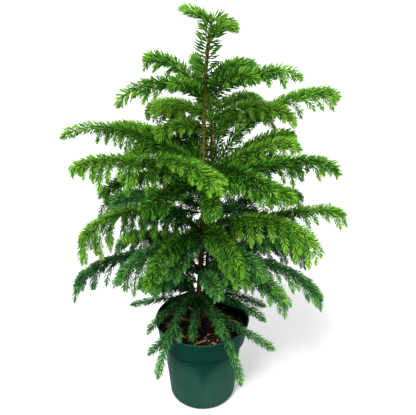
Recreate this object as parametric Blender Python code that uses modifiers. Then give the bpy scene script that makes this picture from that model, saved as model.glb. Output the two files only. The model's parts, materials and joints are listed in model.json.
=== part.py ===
"""A young Norfolk Island pine in a round nursery pot, at its real size.

Units are metres, +Z is up, and the origin is the centre of the pot's flat underside.
-Y is the side that faces the viewer. Angles in the tables are degrees, and an azimuth
of 0 points along +X, 90 along +Y (away from the viewer) and 180 along -X.
"""

import math
import random
from collections import namedtuple

import bmesh
import bpy
from mathutils import Matrix, Vector
from mathutils.bvhtree import BVHTree
from mathutils.geometry import interpolate_bezier

MM = 0.001
UP = Vector((0, 0, 1))

# Clear gap between pieces that touch on the real plant
GAP = 0.3 * MM

# Merge distance that welds a curve's caps
WELD = 0.01 * MM

# Pot
POT_HEIGHT = 101 * MM
RIM_RADIUS = 52 * MM
BAND_FOOT_RADIUS = 48 * MM
BAND_FOOT_HEIGHT = 77 * MM
SHOULDER_RADIUS = 43.5 * MM
SHOULDER_HEIGHT = 73 * MM
BASE_RADIUS = 37.5 * MM
BASE_ROUND = 5 * MM
POT_WALL = 1.4 * MM
POT_FLOOR = 2 * MM
POT_SIDES = 32

# Soil
SOIL_LEVEL = 88 * MM
SOIL_CLEARANCE = 0.5 * MM

# Stems: each course is (height, sideways, back), smoothed into one line
TRUNK_COURSE = (
    (SOIL_LEVEL + GAP, -6.2 * MM, 0),
    (106 * MM, -5.4 * MM, 0),
    (154 * MM, -2.3 * MM, 0),
    (206 * MM, 0.7 * MM, 0),
    (272 * MM, 2.0 * MM, 0),
    (345 * MM, 2.8 * MM, 0),
    (385 * MM, 5.9 * MM, 0),
    (405 * MM, 8.8 * MM, 0),
)
TRUNK_FOOT_RADIUS = 3.2 * MM
TRUNK_TIP_RADIUS = 1.3 * MM
TRUNK_FLARE = 1.5 * MM
REAR_COURSE = (
    (SOIL_LEVEL + GAP, 1.5 * MM, 15.5 * MM),
    (108 * MM, 1.8 * MM, 16 * MM),
    (180 * MM, 6.5 * MM, 17 * MM),
    (250 * MM, 9.6 * MM, 17 * MM),
    (314 * MM, 9.9 * MM, 17 * MM),
)
REAR_FOOT_RADIUS = 2.1 * MM
REAR_TIP_RADIUS = 1.1 * MM
REAR_FLARE = 0.8 * MM
FLARE_HEIGHT = 5.6 * MM
STEM_TAPER = 0.8
STEM_STEPS_PER_SPAN = 4

# Sprays of needles: half widths and half thicknesses of the blades, and their teeth
STEM_WIDTH = 2.6 * MM
STEM_THICKNESS = 1.5 * MM
TWIG_WIDTH = 3.4 * MM
TWIG_THICKNESS = 1 * MM
BLADE_NARROWING = 0.45
TOOTH_SPACING = 13 * MM
TOOTH_ROLL = 32
TOOTH_LEAN = 0.9

# Fronds and twigs
CURVE_STEPS = 40
LEAVE_HANDLE = 0.42
ARRIVE_HANDLE = 0.3
BOUGH_RADIUS = 1.7 * MM
BOUGH_TAPER = 0.25
BOUGH_STEPS = 5
STAGGER = 2 * MM
LAST_TWIG = 0.88
TWIG_SPREAD = (34, 50)
TWIG_LIFT = 0.1
TWIG_CUTS = (1.0, 0.75, 0.5)
SEED = 11

Stem = namedtuple("Stem", "line radii")
Frond = namedtuple("Frond", "name azimuth reach tip rise end")
Whorl = namedtuple("Whorl", "name stem height bare first pairs twig hang needle fronds")

# A frond is its name, azimuth, reach, height of tip above the whorl, and the angles at
# which it leaves the stem and ends. A whorl is its name, stem and height, the bare share of
# its fronds, the share where twigs start, pairs of twigs, longest twig, how far twigs hang,
# needle length and fronds. Lengths in both are in millimetres.
WHORLS = (
    Whorl("whorl_1", "trunk", 345, 0, 0.3, 2, 26, 0.45, 8.5, (
        Frond("right", 2, 94, 14, 36, -45),
        Frond("back_right", 50, 78, 20, 42, -20),
        Frond("back", 100, 67, 24, 50, -20),
        Frond("back_left", 148, 70, 25, 45, -35),
        Frond("left", 188, 80, -10, 44, -80),
        Frond("front_left", 250, 52, 16, 45, -60),
        Frond("front_right", 300, 60, 19, 45, -50),
    )),
    Whorl("whorl_2", "trunk", 272, 0, 0.24, 3, 44, 0.55, 8, (
        Frond("right", 350, 133, 6, 28, -62),
        Frond("back", 122, 112, 44, 52, -30),
        Frond("back_left", 150, 114, 28, 42, -30),
        Frond("left", 180, 141, 31, 48, -40),
        Frond("front_left", 214, 137, 24, 32, -24),
        Frond("front", 271, 98, -6, 36, -75),
        Frond("front_right", 310, 112, 3, 34, -78),
    )),
    Whorl("whorl_3", "trunk", 206, 0.3, 0.06, 3, 48, 0.85, 7.5, (
        Frond("right", 352, 148, 31, 30, -30),
        Frond("back", 75, 122, 16, 34, -42),
        Frond("back_left", 154, 122, 8, 36, -50),
        Frond("left", 194, 124, -14, 52, -86),
        Frond("front_left", 242, 104, -14, 34, -75),
        Frond("front", 292, 96, -4, 38, -62),
        Frond("front_right", 328, 121, 10, 36, -48),
    )),
    Whorl("whorl_4", "trunk", 160, 0.3, 0.06, 3, 42, 0.85, 7.5, (
        Frond("right", 344, 130, -34, 18, -66),
        Frond("back_right", 24, 134, -14, 28, -50),
        Frond("back", 88, 116, 0, 28, -50),
        Frond("back_left", 142, 112, 0, 28, -55),
        Frond("left", 190, 128, -20, 44, -92),
        Frond("front_left", 238, 84, -22, 24, -70),
        Frond("front", 284, 80, -2, 30, -62),
        Frond("front_right", 316, 114, 0, 30, -60),
    )),
    Whorl("whorl_5", "trunk", 124, 0, 0.36, 2, 22, 0.7, 7, (
        Frond("left", 175, 78, -13, 8, -14),
        Frond("low_left", 236, 92, -48, 14, -80),
        Frond("front", 264, 46, -28, 10, -84),
        Frond("low_right", 297, 92, -50, 14, -78),
        Frond("front_right", 321, 102, -20, 10, -40),
        Frond("right", 345, 77, -16, 14, -40),
    )),
    Whorl("rear_whorl", "rear_stem", 265, 0, 0.3, 3, 44, 0.5, 8, (
        Frond("low_right", 350, 92, 24, 36, -55),
        Frond("right", 25, 156, 62, 54, -36),
        Frond("back_right", 74, 84, 36, 52, -30),
    )),
)

# Young shoots on the two leaders
LEADER_SHOOTS = (
    Frond("left", 184, 28, 14, 62, -30),
    Frond("right", 2, 21, -6, 66, -75),
    Frond("back", 85, 12, 12, 70, 30),
)
REAR_SHOOTS = (
    Frond("right", 5, 86, -3, 46, -60),
    Frond("back_right", 46, 76, 6, 52, -45),
    Frond("back", 96, 56, 12, 50, -40),
    Frond("back_left", 146, 68, 8, 52, -50),
    Frond("left", 178, 58, 2, 44, -50),
)
SHOOT_DENSITY = 1.3
LEADER_NEEDLE = 6.8 * MM
REAR_NEEDLE = 6 * MM
BUD_HEIGHT = 3 * MM
BUD_RADIUS = 2.4 * MM

# Needles on the bare leader stand on a thin sleeve round the wood
SLEEVE_FOOT = 352 * MM
SLEEVE_GAP = 0.45 * MM
SLEEVE_WALL = 0.5 * MM
SLEEVE_OVERLAP = 2.3 * MM
SLEEVE_MARGIN = 1 * MM
SLEEVE_NEEDLES = 26
SLEEVE_NEEDLE_LENGTH = 11 * MM
SLEEVE_NEEDLE_RADIUS = 0.8 * MM
SLEEVE_NEEDLE_RISE = 0.25
GOLDEN_TURN = math.radians(137.5)


def new_collection(name):
    collection = bpy.data.collections.new(name)
    bpy.context.scene.collection.children.link(collection)
    return collection


def new_material(name, colour, roughness, metallic=0.0):
    material = bpy.data.materials.new(name)
    material.use_nodes = True
    shader = material.node_tree.nodes["Principled BSDF"]
    shader.inputs["Base Color"].default_value = (*colour, 1)
    shader.inputs["Roughness"].default_value = roughness
    shader.inputs["Metallic"].default_value = metallic
    return material


def add_object(name, data, collection, material=None):
    made = bpy.data.objects.new(name, data)
    collection.objects.link(made)
    if material:
        data.materials.clear()
        data.materials.append(material)
    return made


def evaluated_copy(made):
    """The mesh of an object as its modifiers and curve settings leave it."""
    graph = bpy.context.evaluated_depsgraph_get()
    graph.update()
    return bpy.data.meshes.new_from_object(made.evaluated_get(graph))


def smooth(made, angle=35):
    made.data.shade_smooth()
    made.data.set_sharp_from_angle(angle=math.radians(angle))


# Turned pieces


def arc(centre, radius, first, last, steps):
    """Points (radius, height) on an arc, between two angles in degrees."""
    angles = (math.radians(first + (last - first) * k / steps) for k in range(steps + 1))
    return [
        (centre[0] + radius * math.cos(a), centre[1] + radius * math.sin(a))
        for a in angles
    ]


def turned(name, profile, collection, material):
    """A solid turned round Z: the profile runs from the axis, up inside, and down outside."""
    mesh = bpy.data.meshes.new(name)
    points = [(r, 0, z) for r, z in profile]
    mesh.from_pydata(points, [(k, k + 1) for k in range(len(points) - 1)], [])
    made = add_object(name, mesh, collection, material)
    screw = made.modifiers.new("Turn", "SCREW")
    screw.steps = screw.render_steps = POT_SIDES
    screw.use_merge_vertices = True
    screw.merge_threshold = 0.00005
    made.data = evaluated_copy(made)
    made.modifiers.clear()
    smooth(made)
    return made


def pot_inside():
    """The pot's inner wall as (radius, height) points, from the floor to the rim."""
    foot = BASE_RADIUS - POT_WALL
    return [
        (foot - BASE_ROUND / 2, POT_FLOOR),
        (foot + 0.3 * MM, POT_FLOOR + BASE_ROUND / 2),
        (SHOULDER_RADIUS - POT_WALL, SHOULDER_HEIGHT),
        (BAND_FOOT_RADIUS - POT_WALL, BAND_FOOT_HEIGHT),
        (RIM_RADIUS - POT_WALL, POT_HEIGHT - POT_WALL / 2),
    ]


def radius_inside(height):
    """The pot's inner radius at a height."""
    wall = pot_inside()
    for (radius, low), (radius2, high) in zip(wall, wall[1:]):
        if height <= high:
            return radius + (radius2 - radius) * (height - low) / (high - low)


def make_pot(collection, material):
    rim_round = POT_WALL / 2
    rim_centre = (RIM_RADIUS - rim_round, POT_HEIGHT - rim_round)
    profile = [(0, POT_FLOOR)] + pot_inside()[:-1]
    profile += arc(rim_centre, rim_round, 180, 0, 2)
    profile += [
        (BAND_FOOT_RADIUS, BAND_FOOT_HEIGHT + 1 * MM),
        (BAND_FOOT_RADIUS - 1 * MM, BAND_FOOT_HEIGHT - 0.5 * MM),
        (SHOULDER_RADIUS, SHOULDER_HEIGHT - 1 * MM),
    ]
    profile += arc((BASE_RADIUS - BASE_ROUND, BASE_ROUND), BASE_ROUND, 5, -90, 3)
    profile.append((0, 0))
    return turned("pot", profile, collection, material)


def make_soil(collection, material):
    edge = SOIL_LEVEL - 1.5 * MM
    profile = [(0, SOIL_LEVEL), (radius_inside(edge) - 9 * MM, SOIL_LEVEL)]
    profile.append((radius_inside(edge) - SOIL_CLEARANCE, edge))
    profile += [
        (radius - SOIL_CLEARANCE, height) for radius, height in reversed(pot_inside()[1:-1])
    ]
    radius, floor = pot_inside()[0]
    profile += [(radius - SOIL_CLEARANCE, floor + GAP), (0, floor + GAP)]
    return turned("soil", profile, collection, material)


# Stems and boughs


def stem_line(course):
    """A smooth line through a course, whose first step is upright."""
    knots = [Vector((side, back, height)) for height, side, back in course]
    line = [knots[0]]
    for k in range(len(knots) - 1):
        here, there = knots[k], knots[k + 1]
        before, after = knots[max(k - 1, 0)], knots[min(k + 2, len(knots) - 1)]
        handle = (there - here).length / 3
        leave = here + (there - before).normalized() * handle
        arrive = there - (after - here).normalized() * handle
        line += interpolate_bezier(here, leave, arrive, there, STEM_STEPS_PER_SPAN + 1)[1:]
    line[0].xy = line[1].xy
    return line


def stem_radii(line, foot, tip, flare):
    """Radii that taper from foot to tip, with a root flare over the lowest stretch."""
    low, high = line[0].z, line[-1].z
    radii = []
    for point in line:
        share = (point.z - low) / (high - low)
        swell = flare * math.exp(-(point.z - low) / FLARE_HEIGHT)
        radii.append(foot + (tip - foot) * share**STEM_TAPER + swell)
    return radii


def make_stem(course, foot, tip, flare):
    line = stem_line(course)
    return Stem(line, stem_radii(line, foot, tip, flare))


def stem_at(stem, height):
    """The stem's centre and radius at a height."""
    k = 0
    while k < len(stem.line) - 2 and stem.line[k + 1].z < height:
        k += 1
    low, high = stem.line[k], stem.line[k + 1]
    share = (height - low.z) / (high.z - low.z)
    radius = stem.radii[k] + (stem.radii[k + 1] - stem.radii[k]) * share
    return low.lerp(high, share), radius


def tube(name, line, radii, collection, closed, round_steps=1):
    """A bevelled curve along a line, made a mesh. Its ends are capped if it is closed."""
    curve = bpy.data.curves.new(name, "CURVE")
    curve.dimensions = "3D"
    curve.bevel_depth = 1
    curve.bevel_resolution = round_steps
    curve.use_fill_caps = closed
    spline = curve.splines.new("POLY")
    spline.points.add(len(line) - 1)
    for target, point, radius in zip(spline.points, line, radii):
        target.co = (*point, 1)
        target.radius = radius
    guide = add_object(name + "_guide", curve, collection)
    mesh = evaluated_copy(guide)
    bpy.data.objects.remove(guide)
    shape = bmesh.new()
    shape.from_mesh(mesh)
    bmesh.ops.remove_doubles(shape, verts=shape.verts, dist=WELD)
    bmesh.ops.recalc_face_normals(shape, faces=shape.faces)
    shape.to_mesh(mesh)
    shape.free()
    return mesh


def add_limb(name, line, radii, collection, material, round_steps=1):
    """A tapering limb with flat ends."""
    mesh = tube(name, line, radii, collection, True, round_steps)
    made = add_object(name, mesh, collection, material)
    smooth(made)
    return made


def outward(azimuth):
    return Vector((math.cos(azimuth), math.sin(azimuth), 0))


def frond_curve(start, frond):
    """A frond's line: one arch from the stem to its tip, in an upright plane."""
    out = outward(math.radians(frond.azimuth))
    reach = frond.reach * MM
    rise, end = math.radians(frond.rise), math.radians(frond.end)
    leave = out * math.cos(rise) + UP * math.sin(rise)
    arrive = out * math.cos(end) + UP * math.sin(end)
    finish = start + out * reach + UP * frond.tip * MM
    return interpolate_bezier(
        start,
        start + leave * reach * LEAVE_HANDLE,
        finish - arrive * reach * ARRIVE_HANDLE,
        finish,
        CURVE_STEPS + 1,
    )


def line_length(line):
    return sum((b - a).length for a, b in zip(line, line[1:]))


def resampled(line, count):
    """The line as count steps of one length."""
    step = line_length(line) / count
    points, left, k = [line[0]], step, 0
    here = line[0]
    while len(points) < count:
        ahead = line[k + 1] - here
        if ahead.length < left:
            left -= ahead.length
            k += 1
            here = line[k]
        else:
            here = here + ahead.normalized() * left
            points.append(here)
            left = step
    return points + [line[-1]]


def steps_for(length, fewest):
    return max(fewest, round(length / TOOTH_SPACING))


def along(line, share):
    """The point and direction at a share of a line's steps."""
    place = share * (len(line) - 1)
    k = min(int(place), len(line) - 2)
    return line[k].lerp(line[k + 1], place - k), (line[k + 1] - line[k]).normalized()


# Foliage


def blade_ring(shape, line, k, width, thickness):
    """The diamond section of a blade at one step: right edge, top ridge, left edge, bottom ridge."""
    ahead = (line[k + 1] - line[max(k - 1, 0)]).normalized()
    side = ahead.cross(UP).normalized()
    rise = side.cross(ahead).normalized()
    corners = (side * width, rise * thickness, -side * width, -rise * thickness)
    return [shape.verts.new(line[k] + corner) for corner in corners], side, rise


def toothed_blade(line, width, thickness, reach, plain, pointed):
    """A spray of needles: a flat blade along a line, with a pair of teeth at each step.

    It has no teeth on its first plain steps. Teeth lean forward, and roll up and down in
    turn so that the spray shows from all sides. Its root is a point, or else a flat end.
    """
    shape = bmesh.new()
    steps = len(line) - 1
    tip = shape.verts.new(line[-1])
    rings, sides = [], []
    for k in range(steps):
        share = 1 - BLADE_NARROWING * k / steps
        half_width = width if k else thickness
        ring, *axes = blade_ring(shape, line, k, half_width * share, thickness * share)
        rings.append(ring)
        sides.append(axes)
    rings.append([tip] * 4)
    if not pointed:
        shape.faces.new(rings[0])
    for k, (side, rise) in enumerate(sides):
        roll = math.radians(TOOTH_ROLL) * (1 if k % 2 else -1)
        for edge, sign in ((0, 1), (2, -1)):
            heel, heel2 = rings[k][edge], rings[k + 1][edge]
            tooth = None
            if k >= plain:
                out = side * sign * math.cos(roll) + rise * math.sin(roll)
                tooth = shape.verts.new(line[k].lerp(line[k + 1], TOOTH_LEAN) + out * reach)
            for ridge_edge in (1, 3):
                ridge, ridge2 = rings[k][ridge_edge], rings[k + 1][ridge_edge]
                if tooth:
                    shape.faces.new((heel, tooth, ridge))
                    shape.faces.new((tooth, heel2, ridge))
                else:
                    shape.faces.new((heel, heel2, ridge))
                if heel2 is not ridge2:
                    shape.faces.new((heel2, ridge2, ridge))
    if pointed:
        bmesh.ops.pointmerge(shape, verts=rings[0], merge_co=line[0])
    bmesh.ops.recalc_face_normals(shape, faces=shape.faces)
    return shape


def stem_blade(line, needle, plain):
    """The blade along a frond's own stem, with a flat end towards its bough or trunk."""
    return toothed_blade(line, STEM_WIDTH, STEM_THICKNESS, needle, plain, pointed=False)


def twig_line(start, ahead, side, length, spread, hang, steps):
    """A twig that leaves its stem forwards and sideways, and droops towards its end."""
    angle = math.radians(spread)
    out = (ahead * math.cos(angle) + side * math.sin(angle) + UP * TWIG_LIFT).normalized()
    line = []
    for k in range(steps + 1):
        t = k / steps
        forward = out * t * (1 - 0.4 * hang * t)
        line.append(start + length * (forward - UP * 0.6 * hang * t * t))
    return line


def twig_size(share):
    """A twig's length as a share of the longest: full in mid frond, short towards its ends."""
    return min(1.0, 0.55 + 1.6 * share) * min(1.0, 1.8 - 1.5 * share)


def twigs_of(line, whorl, chance):
    """The seeded rule: twigs right and left in turn, from the whorl's first place to near the tip."""
    for pair in range(whorl.pairs):
        for hand in (1, -1):
            place = (pair + 0.5 + 0.25 * hand) / whorl.pairs
            share = whorl.first + (LAST_TWIG - whorl.first) * place
            start, ahead = along(line, share)
            side = ahead.cross(UP).normalized() * hand
            length = whorl.twig * MM * twig_size(share) * chance.uniform(0.85, 1.1)
            spread = chance.uniform(*TWIG_SPREAD)
            hang = whorl.hang * chance.uniform(0.85, 1.15)
            yield start, ahead, side, length, spread, hang


def mesh_of(shape, name):
    mesh = bpy.data.meshes.new(name)
    shape.to_mesh(mesh)
    shape.free()
    return mesh


def tree_of(mesh):
    shape = bmesh.new()
    shape.from_mesh(mesh)
    tree = BVHTree.FromBMesh(shape)
    shape.free()
    return tree


def is_closed(mesh):
    """Whether every edge of a mesh lies between exactly two faces."""
    shape = bmesh.new()
    shape.from_mesh(mesh)
    closed = all(edge.is_manifold for edge in shape.edges)
    shape.free()
    return closed


def fuse(name, base, pieces, collection, material):
    """One Boolean union of a base mesh and the pieces that grow from it."""
    made = add_object(name, base, collection, material)
    group = new_collection(name + "_pieces")
    grown = [add_object(name + "_piece", mesh, group) for mesh in pieces]
    union = made.modifiers.new("Fuse", "BOOLEAN")
    union.operation = "UNION"
    union.operand_type = "COLLECTION"
    union.collection = group
    for solver in ("EXACT", "MANIFOLD"):
        union.solver = solver
        mesh = evaluated_copy(made)
        if is_closed(mesh):
            break
    made.modifiers.clear()
    made.data = mesh
    for piece in grown:
        bpy.data.objects.remove(piece)
    bpy.data.collections.remove(group)
    return made


def foot_level(order, count):
    """Neighbours round a whorl leave the stem low and high in turn; an odd last one higher."""
    if count % 2 and order == count - 1:
        return 3
    return 1 if order % 2 else -1


class Crown:
    """Everything that stands so far, and the fronds that grow on it."""

    def __init__(self, stems, collection, materials):
        self.stems = stems
        self.collection = collection
        self.materials = materials
        self.chance = random.Random(SEED)
        self.standing = []
        self.fronds = []

    def stand(self, name, mesh):
        self.standing.append((name, tree_of(mesh)))

    def is_free(self, name, mesh):
        """Whether a mesh touches nothing that belongs to another node."""
        tree = tree_of(mesh)
        return not any(tree.overlap(other) for owner, other in self.standing if owner != name)

    def add_bough(self, name, curve):
        """The bare limb of a frond, along the start of its curve."""
        line = resampled(curve, BOUGH_STEPS)
        radii = [BOUGH_RADIUS * (1 - BOUGH_TAPER * k / BOUGH_STEPS) for k in range(len(line))]
        made = add_limb(name, line, radii, self.collection, self.materials["bark"])
        self.stand(name, made.data)

    def add_frond(self, whorl, frond, level):
        """A frond's bough, if it has one, and the stem of its foliage."""
        lift = STAGGER * level
        centre, radius = stem_at(self.stems[whorl.stem], whorl.height * MM + lift)
        inset = radius + GAP + BOUGH_RADIUS * math.sin(math.radians(frond.rise))
        start = centre + outward(math.radians(frond.azimuth)) * inset
        grown = frond._replace(reach=frond.reach - inset / MM, tip=frond.tip - lift / MM)
        curve = frond_curve(start, grown)
        name = f"{whorl.name}_{frond.name}"
        if whorl.bare:
            cut = round(whorl.bare * CURVE_STEPS)
            self.add_bough(name + "_bough", curve[: cut + 1])
            ahead = (curve[cut + 1] - curve[cut]).normalized()
            curve = [curve[cut] + ahead * GAP] + curve[cut + 1 :]
        line = resampled(curve, steps_for(line_length(curve), 3))
        mesh = mesh_of(stem_blade(line, whorl.needle * MM, 0 if whorl.bare else 1), name)
        self.stand(name, mesh)
        self.fronds.append((name, whorl, line, mesh))

    def twigs(self, name, whorl, line):
        """A frond's twigs. One that would touch another node is shortened, or skipped."""
        pieces = []
        for start, ahead, side, length, spread, hang in twigs_of(line, whorl, self.chance):
            for cut in TWIG_CUTS:
                steps = steps_for(length * cut, 2)
                route = twig_line(start, ahead, side, length * cut, spread, hang, steps)
                shape = toothed_blade(
                    route, TWIG_WIDTH, TWIG_THICKNESS, whorl.needle * MM, 1, pointed=True
                )
                mesh = mesh_of(shape, name + "_twig")
                if self.is_free(name, mesh):
                    self.stand(name, mesh)
                    pieces.append(mesh)
                    break
        return pieces

    def grow(self):
        for whorl in WHORLS:
            for order, frond in enumerate(whorl.fronds):
                self.add_frond(whorl, frond, foot_level(order, len(whorl.fronds)))
        for name, whorl, line, mesh in self.fronds:
            pieces = self.twigs(name, whorl, line)
            fuse(name, mesh, pieces, self.collection, self.materials["foliage"])


# Leaders


def bud_centre(stem):
    return stem.line[-1] + UP * (BUD_HEIGHT + GAP)


def make_bud(stem):
    """A leader's bud: a blunt solid just above the stem's tip."""
    shape = bmesh.new()
    stretch = Matrix.Diagonal((1, 1, BUD_HEIGHT / BUD_RADIUS, 1))
    place = Matrix.Translation(bud_centre(stem)) @ stretch
    bmesh.ops.create_uvsphere(shape, u_segments=8, v_segments=5, radius=BUD_RADIUS, matrix=place)
    return mesh_of(shape, "bud")


def make_shoots(name, stem, shoots, needle, crown):
    """A leader's young shoots, which grow out of its bud."""
    pieces = []
    for shoot in shoots:
        curve = frond_curve(bud_centre(stem), shoot)
        line = resampled(curve, steps_for(line_length(curve) * SHOOT_DENSITY, 3))
        mesh = mesh_of(stem_blade(line, needle, 0), name)
        crown.stand(name, mesh)
        pieces.append(mesh)
    return pieces


def make_sleeve(stem, collection):
    """A thin sleeve round the top of a stem, clear of the wood and open at its foot."""
    line = [stem_at(stem, SLEEVE_FOOT)[0]]
    line += [point for point in stem.line if point.z > SLEEVE_FOOT + SLEEVE_MARGIN]
    radii = [stem_at(stem, point.z)[1] + SLEEVE_GAP for point in line]
    line.append(stem.line[-1] + UP * SLEEVE_OVERLAP)
    radii.append(radii[-1])
    inner = tube("sleeve", line, radii, collection, False)
    sleeve = add_object("sleeve", inner, collection)
    wall = sleeve.modifiers.new("Wall", "SOLIDIFY")
    wall.thickness = SLEEVE_WALL
    wall.offset = 1
    mesh = evaluated_copy(sleeve)
    bpy.data.objects.remove(sleeve)
    return mesh


def needle_cone(foot, tip):
    """A slim three-sided cone from foot to tip."""
    axis = tip - foot
    turn = UP.rotation_difference(axis.normalized()).to_matrix().to_4x4()
    shape = bmesh.new()
    bmesh.ops.create_cone(
        shape,
        cap_ends=True,
        segments=3,
        radius1=SLEEVE_NEEDLE_RADIUS,
        radius2=0,
        depth=axis.length,
        matrix=Matrix.Translation((foot + tip) / 2) @ turn,
    )
    return mesh_of(shape, "needle")


def sleeve_needles(stem):
    """Needles that stand out round the sleeve, each a golden turn on from the last."""
    length = stem.line[-1].z - SLEEVE_FOOT
    pieces = []
    for k in range(SLEEVE_NEEDLES):
        height = SLEEVE_FOOT + SLEEVE_MARGIN + (length - 2 * SLEEVE_MARGIN) * k / SLEEVE_NEEDLES
        centre, radius = stem_at(stem, height)
        out = outward(k * GOLDEN_TURN)
        foot = centre + out * (radius + SLEEVE_GAP + SLEEVE_WALL / 2)
        tip = foot + (out + UP * SLEEVE_NEEDLE_RISE).normalized() * SLEEVE_NEEDLE_LENGTH
        pieces.append(needle_cone(foot, tip))
    return pieces


def make_leader(stem, crown):
    """The trunk's leader: the sleeve with its needles, the bud and the young shoots."""
    pieces = make_shoots("leader", stem, LEADER_SHOOTS, LEADER_NEEDLE, crown)
    pieces.append(make_bud(stem))
    pieces += sleeve_needles(stem)
    sleeve = make_sleeve(stem, crown.collection)
    made = fuse("leader", sleeve, pieces, crown.collection, crown.materials["foliage"])
    crown.stand("leader", made.data)


def make_rear_leader(stem, crown):
    pieces = make_shoots("rear_leader", stem, REAR_SHOOTS, REAR_NEEDLE, crown)
    fuse("rear_leader", make_bud(stem), pieces, crown.collection, crown.materials["foliage"])


def main():
    for old in list(bpy.data.objects):
        bpy.data.objects.remove(old)
    plant = new_collection("norfolk_island_pine")
    materials = {
        "pot": new_material("green_plastic", (0.01, 0.13, 0.085), 0.35),
        "soil": new_material("potting_soil", (0.035, 0.018, 0.01), 0.95),
        "bark": new_material("young_bark", (0.17, 0.085, 0.03), 0.8),
        "foliage": new_material("needles", (0.045, 0.17, 0.02), 0.5),
    }
    stems = {
        "trunk": make_stem(TRUNK_COURSE, TRUNK_FOOT_RADIUS, TRUNK_TIP_RADIUS, TRUNK_FLARE),
        "rear_stem": make_stem(REAR_COURSE, REAR_FOOT_RADIUS, REAR_TIP_RADIUS, REAR_FLARE),
    }
    crown = Crown(stems, plant, materials)
    for made in (make_pot(plant, materials["pot"]), make_soil(plant, materials["soil"])):
        crown.stand(made.name, made.data)
    for name, stem in stems.items():
        made = add_limb(name, stem.line, stem.radii, plant, materials["bark"], 2)
        crown.stand(name, made.data)
    make_leader(stems["trunk"], crown)
    make_rear_leader(stems["rear_stem"], crown)
    crown.grow()


main()
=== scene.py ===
"""The looks of a young Norfolk Island pine in a round nursery pot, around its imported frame.

Units are metres, +Z is up, and the origin is the centre of the pot's underside. -Y is the
side that faces the viewer. Angles in the tables are degrees, and an azimuth of 0 points
along +X, 90 along +Y (away from the viewer) and 180 along -X.
"""

import json
import math
import random
from collections import namedtuple

import bmesh
import bpy
import numpy as np
from bpy.props import (
    FloatProperty,
    FloatVectorProperty,
    IntProperty,
    PointerProperty,
    StringProperty,
)
from bpy.types import Operator, Panel, PropertyGroup
from mathutils import Matrix, Vector, noise
from mathutils.geometry import interpolate_bezier

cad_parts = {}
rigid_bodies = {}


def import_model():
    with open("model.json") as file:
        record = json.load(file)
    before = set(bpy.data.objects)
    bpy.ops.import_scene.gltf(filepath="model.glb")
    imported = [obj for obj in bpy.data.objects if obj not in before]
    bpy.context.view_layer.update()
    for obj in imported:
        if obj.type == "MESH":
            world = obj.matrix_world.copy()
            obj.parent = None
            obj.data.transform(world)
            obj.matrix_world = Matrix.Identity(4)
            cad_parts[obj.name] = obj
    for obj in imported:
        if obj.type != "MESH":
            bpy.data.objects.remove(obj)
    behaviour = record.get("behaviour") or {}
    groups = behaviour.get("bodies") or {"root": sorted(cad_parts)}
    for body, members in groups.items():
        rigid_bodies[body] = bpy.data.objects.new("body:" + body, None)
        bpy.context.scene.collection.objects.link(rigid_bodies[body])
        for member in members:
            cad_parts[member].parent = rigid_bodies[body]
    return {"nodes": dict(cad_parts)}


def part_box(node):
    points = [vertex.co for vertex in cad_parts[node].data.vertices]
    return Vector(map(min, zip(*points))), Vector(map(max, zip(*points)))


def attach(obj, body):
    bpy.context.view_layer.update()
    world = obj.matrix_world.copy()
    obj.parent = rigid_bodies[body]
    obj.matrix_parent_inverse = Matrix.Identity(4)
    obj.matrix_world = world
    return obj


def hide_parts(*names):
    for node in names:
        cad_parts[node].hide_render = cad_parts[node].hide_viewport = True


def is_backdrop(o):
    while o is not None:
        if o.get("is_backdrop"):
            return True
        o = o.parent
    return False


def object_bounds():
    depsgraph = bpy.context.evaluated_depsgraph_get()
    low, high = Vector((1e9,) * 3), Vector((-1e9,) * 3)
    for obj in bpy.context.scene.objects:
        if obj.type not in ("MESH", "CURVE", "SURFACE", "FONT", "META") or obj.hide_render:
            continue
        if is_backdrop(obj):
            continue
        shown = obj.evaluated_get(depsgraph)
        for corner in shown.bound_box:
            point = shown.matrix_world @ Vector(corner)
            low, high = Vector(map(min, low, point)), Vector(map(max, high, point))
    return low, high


bl_info = {
    "name": "Potted Norfolk Island Pine",
    "version": (1, 0, 0),
    "blender": (4, 5, 0),
    "location": "View3D > Sidebar > Pine",
    "description": "Dresses a young Norfolk Island pine in its pot, around the packed frame",
    "category": "Add Mesh",
}

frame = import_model()
CAD_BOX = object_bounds()
BODY = "root"

MM = 0.001
UP = Vector((0, 0, 1))
FULL_TURN = 2 * math.pi
GOLDEN_TURN = math.radians(137.5)

# Pot: its rim and height come from the frame. Drops are below the shoulder.
POT_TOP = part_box("pot")[1]
POT_HEIGHT = POT_TOP.z
RIM_RADIUS = POT_TOP.x
BAND_FOOT_RADIUS = 48 * MM
BAND_FOOT_HEIGHT = 77 * MM
BAND_FOOT_ROUND = 1 * MM
SHOULDER_RADIUS = 43.5 * MM
SHOULDER_HEIGHT = 73 * MM
GROOVE_DROPS = (1.8 * MM, 4.8 * MM)
GROOVE_HALF_WIDTH = 0.7 * MM
PLAIN_WALL_DROP = 6 * MM
BASE_RADIUS = 37.5 * MM
BASE_ROUND = 5 * MM
FOOT_RING_WIDTH = 3 * MM
FOOT_RING_RISE = 0.8 * MM
DRAIN_RING_INSET = 9 * MM
POT_WALL = 1.4 * MM
POT_FLOOR = 2 * MM
POT_SIDES = 144

# Soil: its lumps are the scale of a noise and its weight, and a shape of grain is its width and
# thickness as shares of its length
SOIL_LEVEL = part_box("soil")[1].z
SOIL_CLEARANCE = 0.5 * MM
SOIL_SIDES = 96
SOIL_RINGS = 28
MOUND_DROP = 0.8 * MM
MOUND_RISE = 1.5 * MM
MOUND_WIDTH = 20 * MM
LUMPS = ((90, 1), (230, 0.5), (500, 0.3))
LUMP_SHARE = 0.55
GRAIN_MARGIN = 2.2 * MM
GRAIN_SIDES = 48
GRAIN_RINGS = 14
GRAIN_SHAPES = ((0.8, 0.6), (0.6, 0.5), (0.45, 0.22), (0.3, 0.16))

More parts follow.
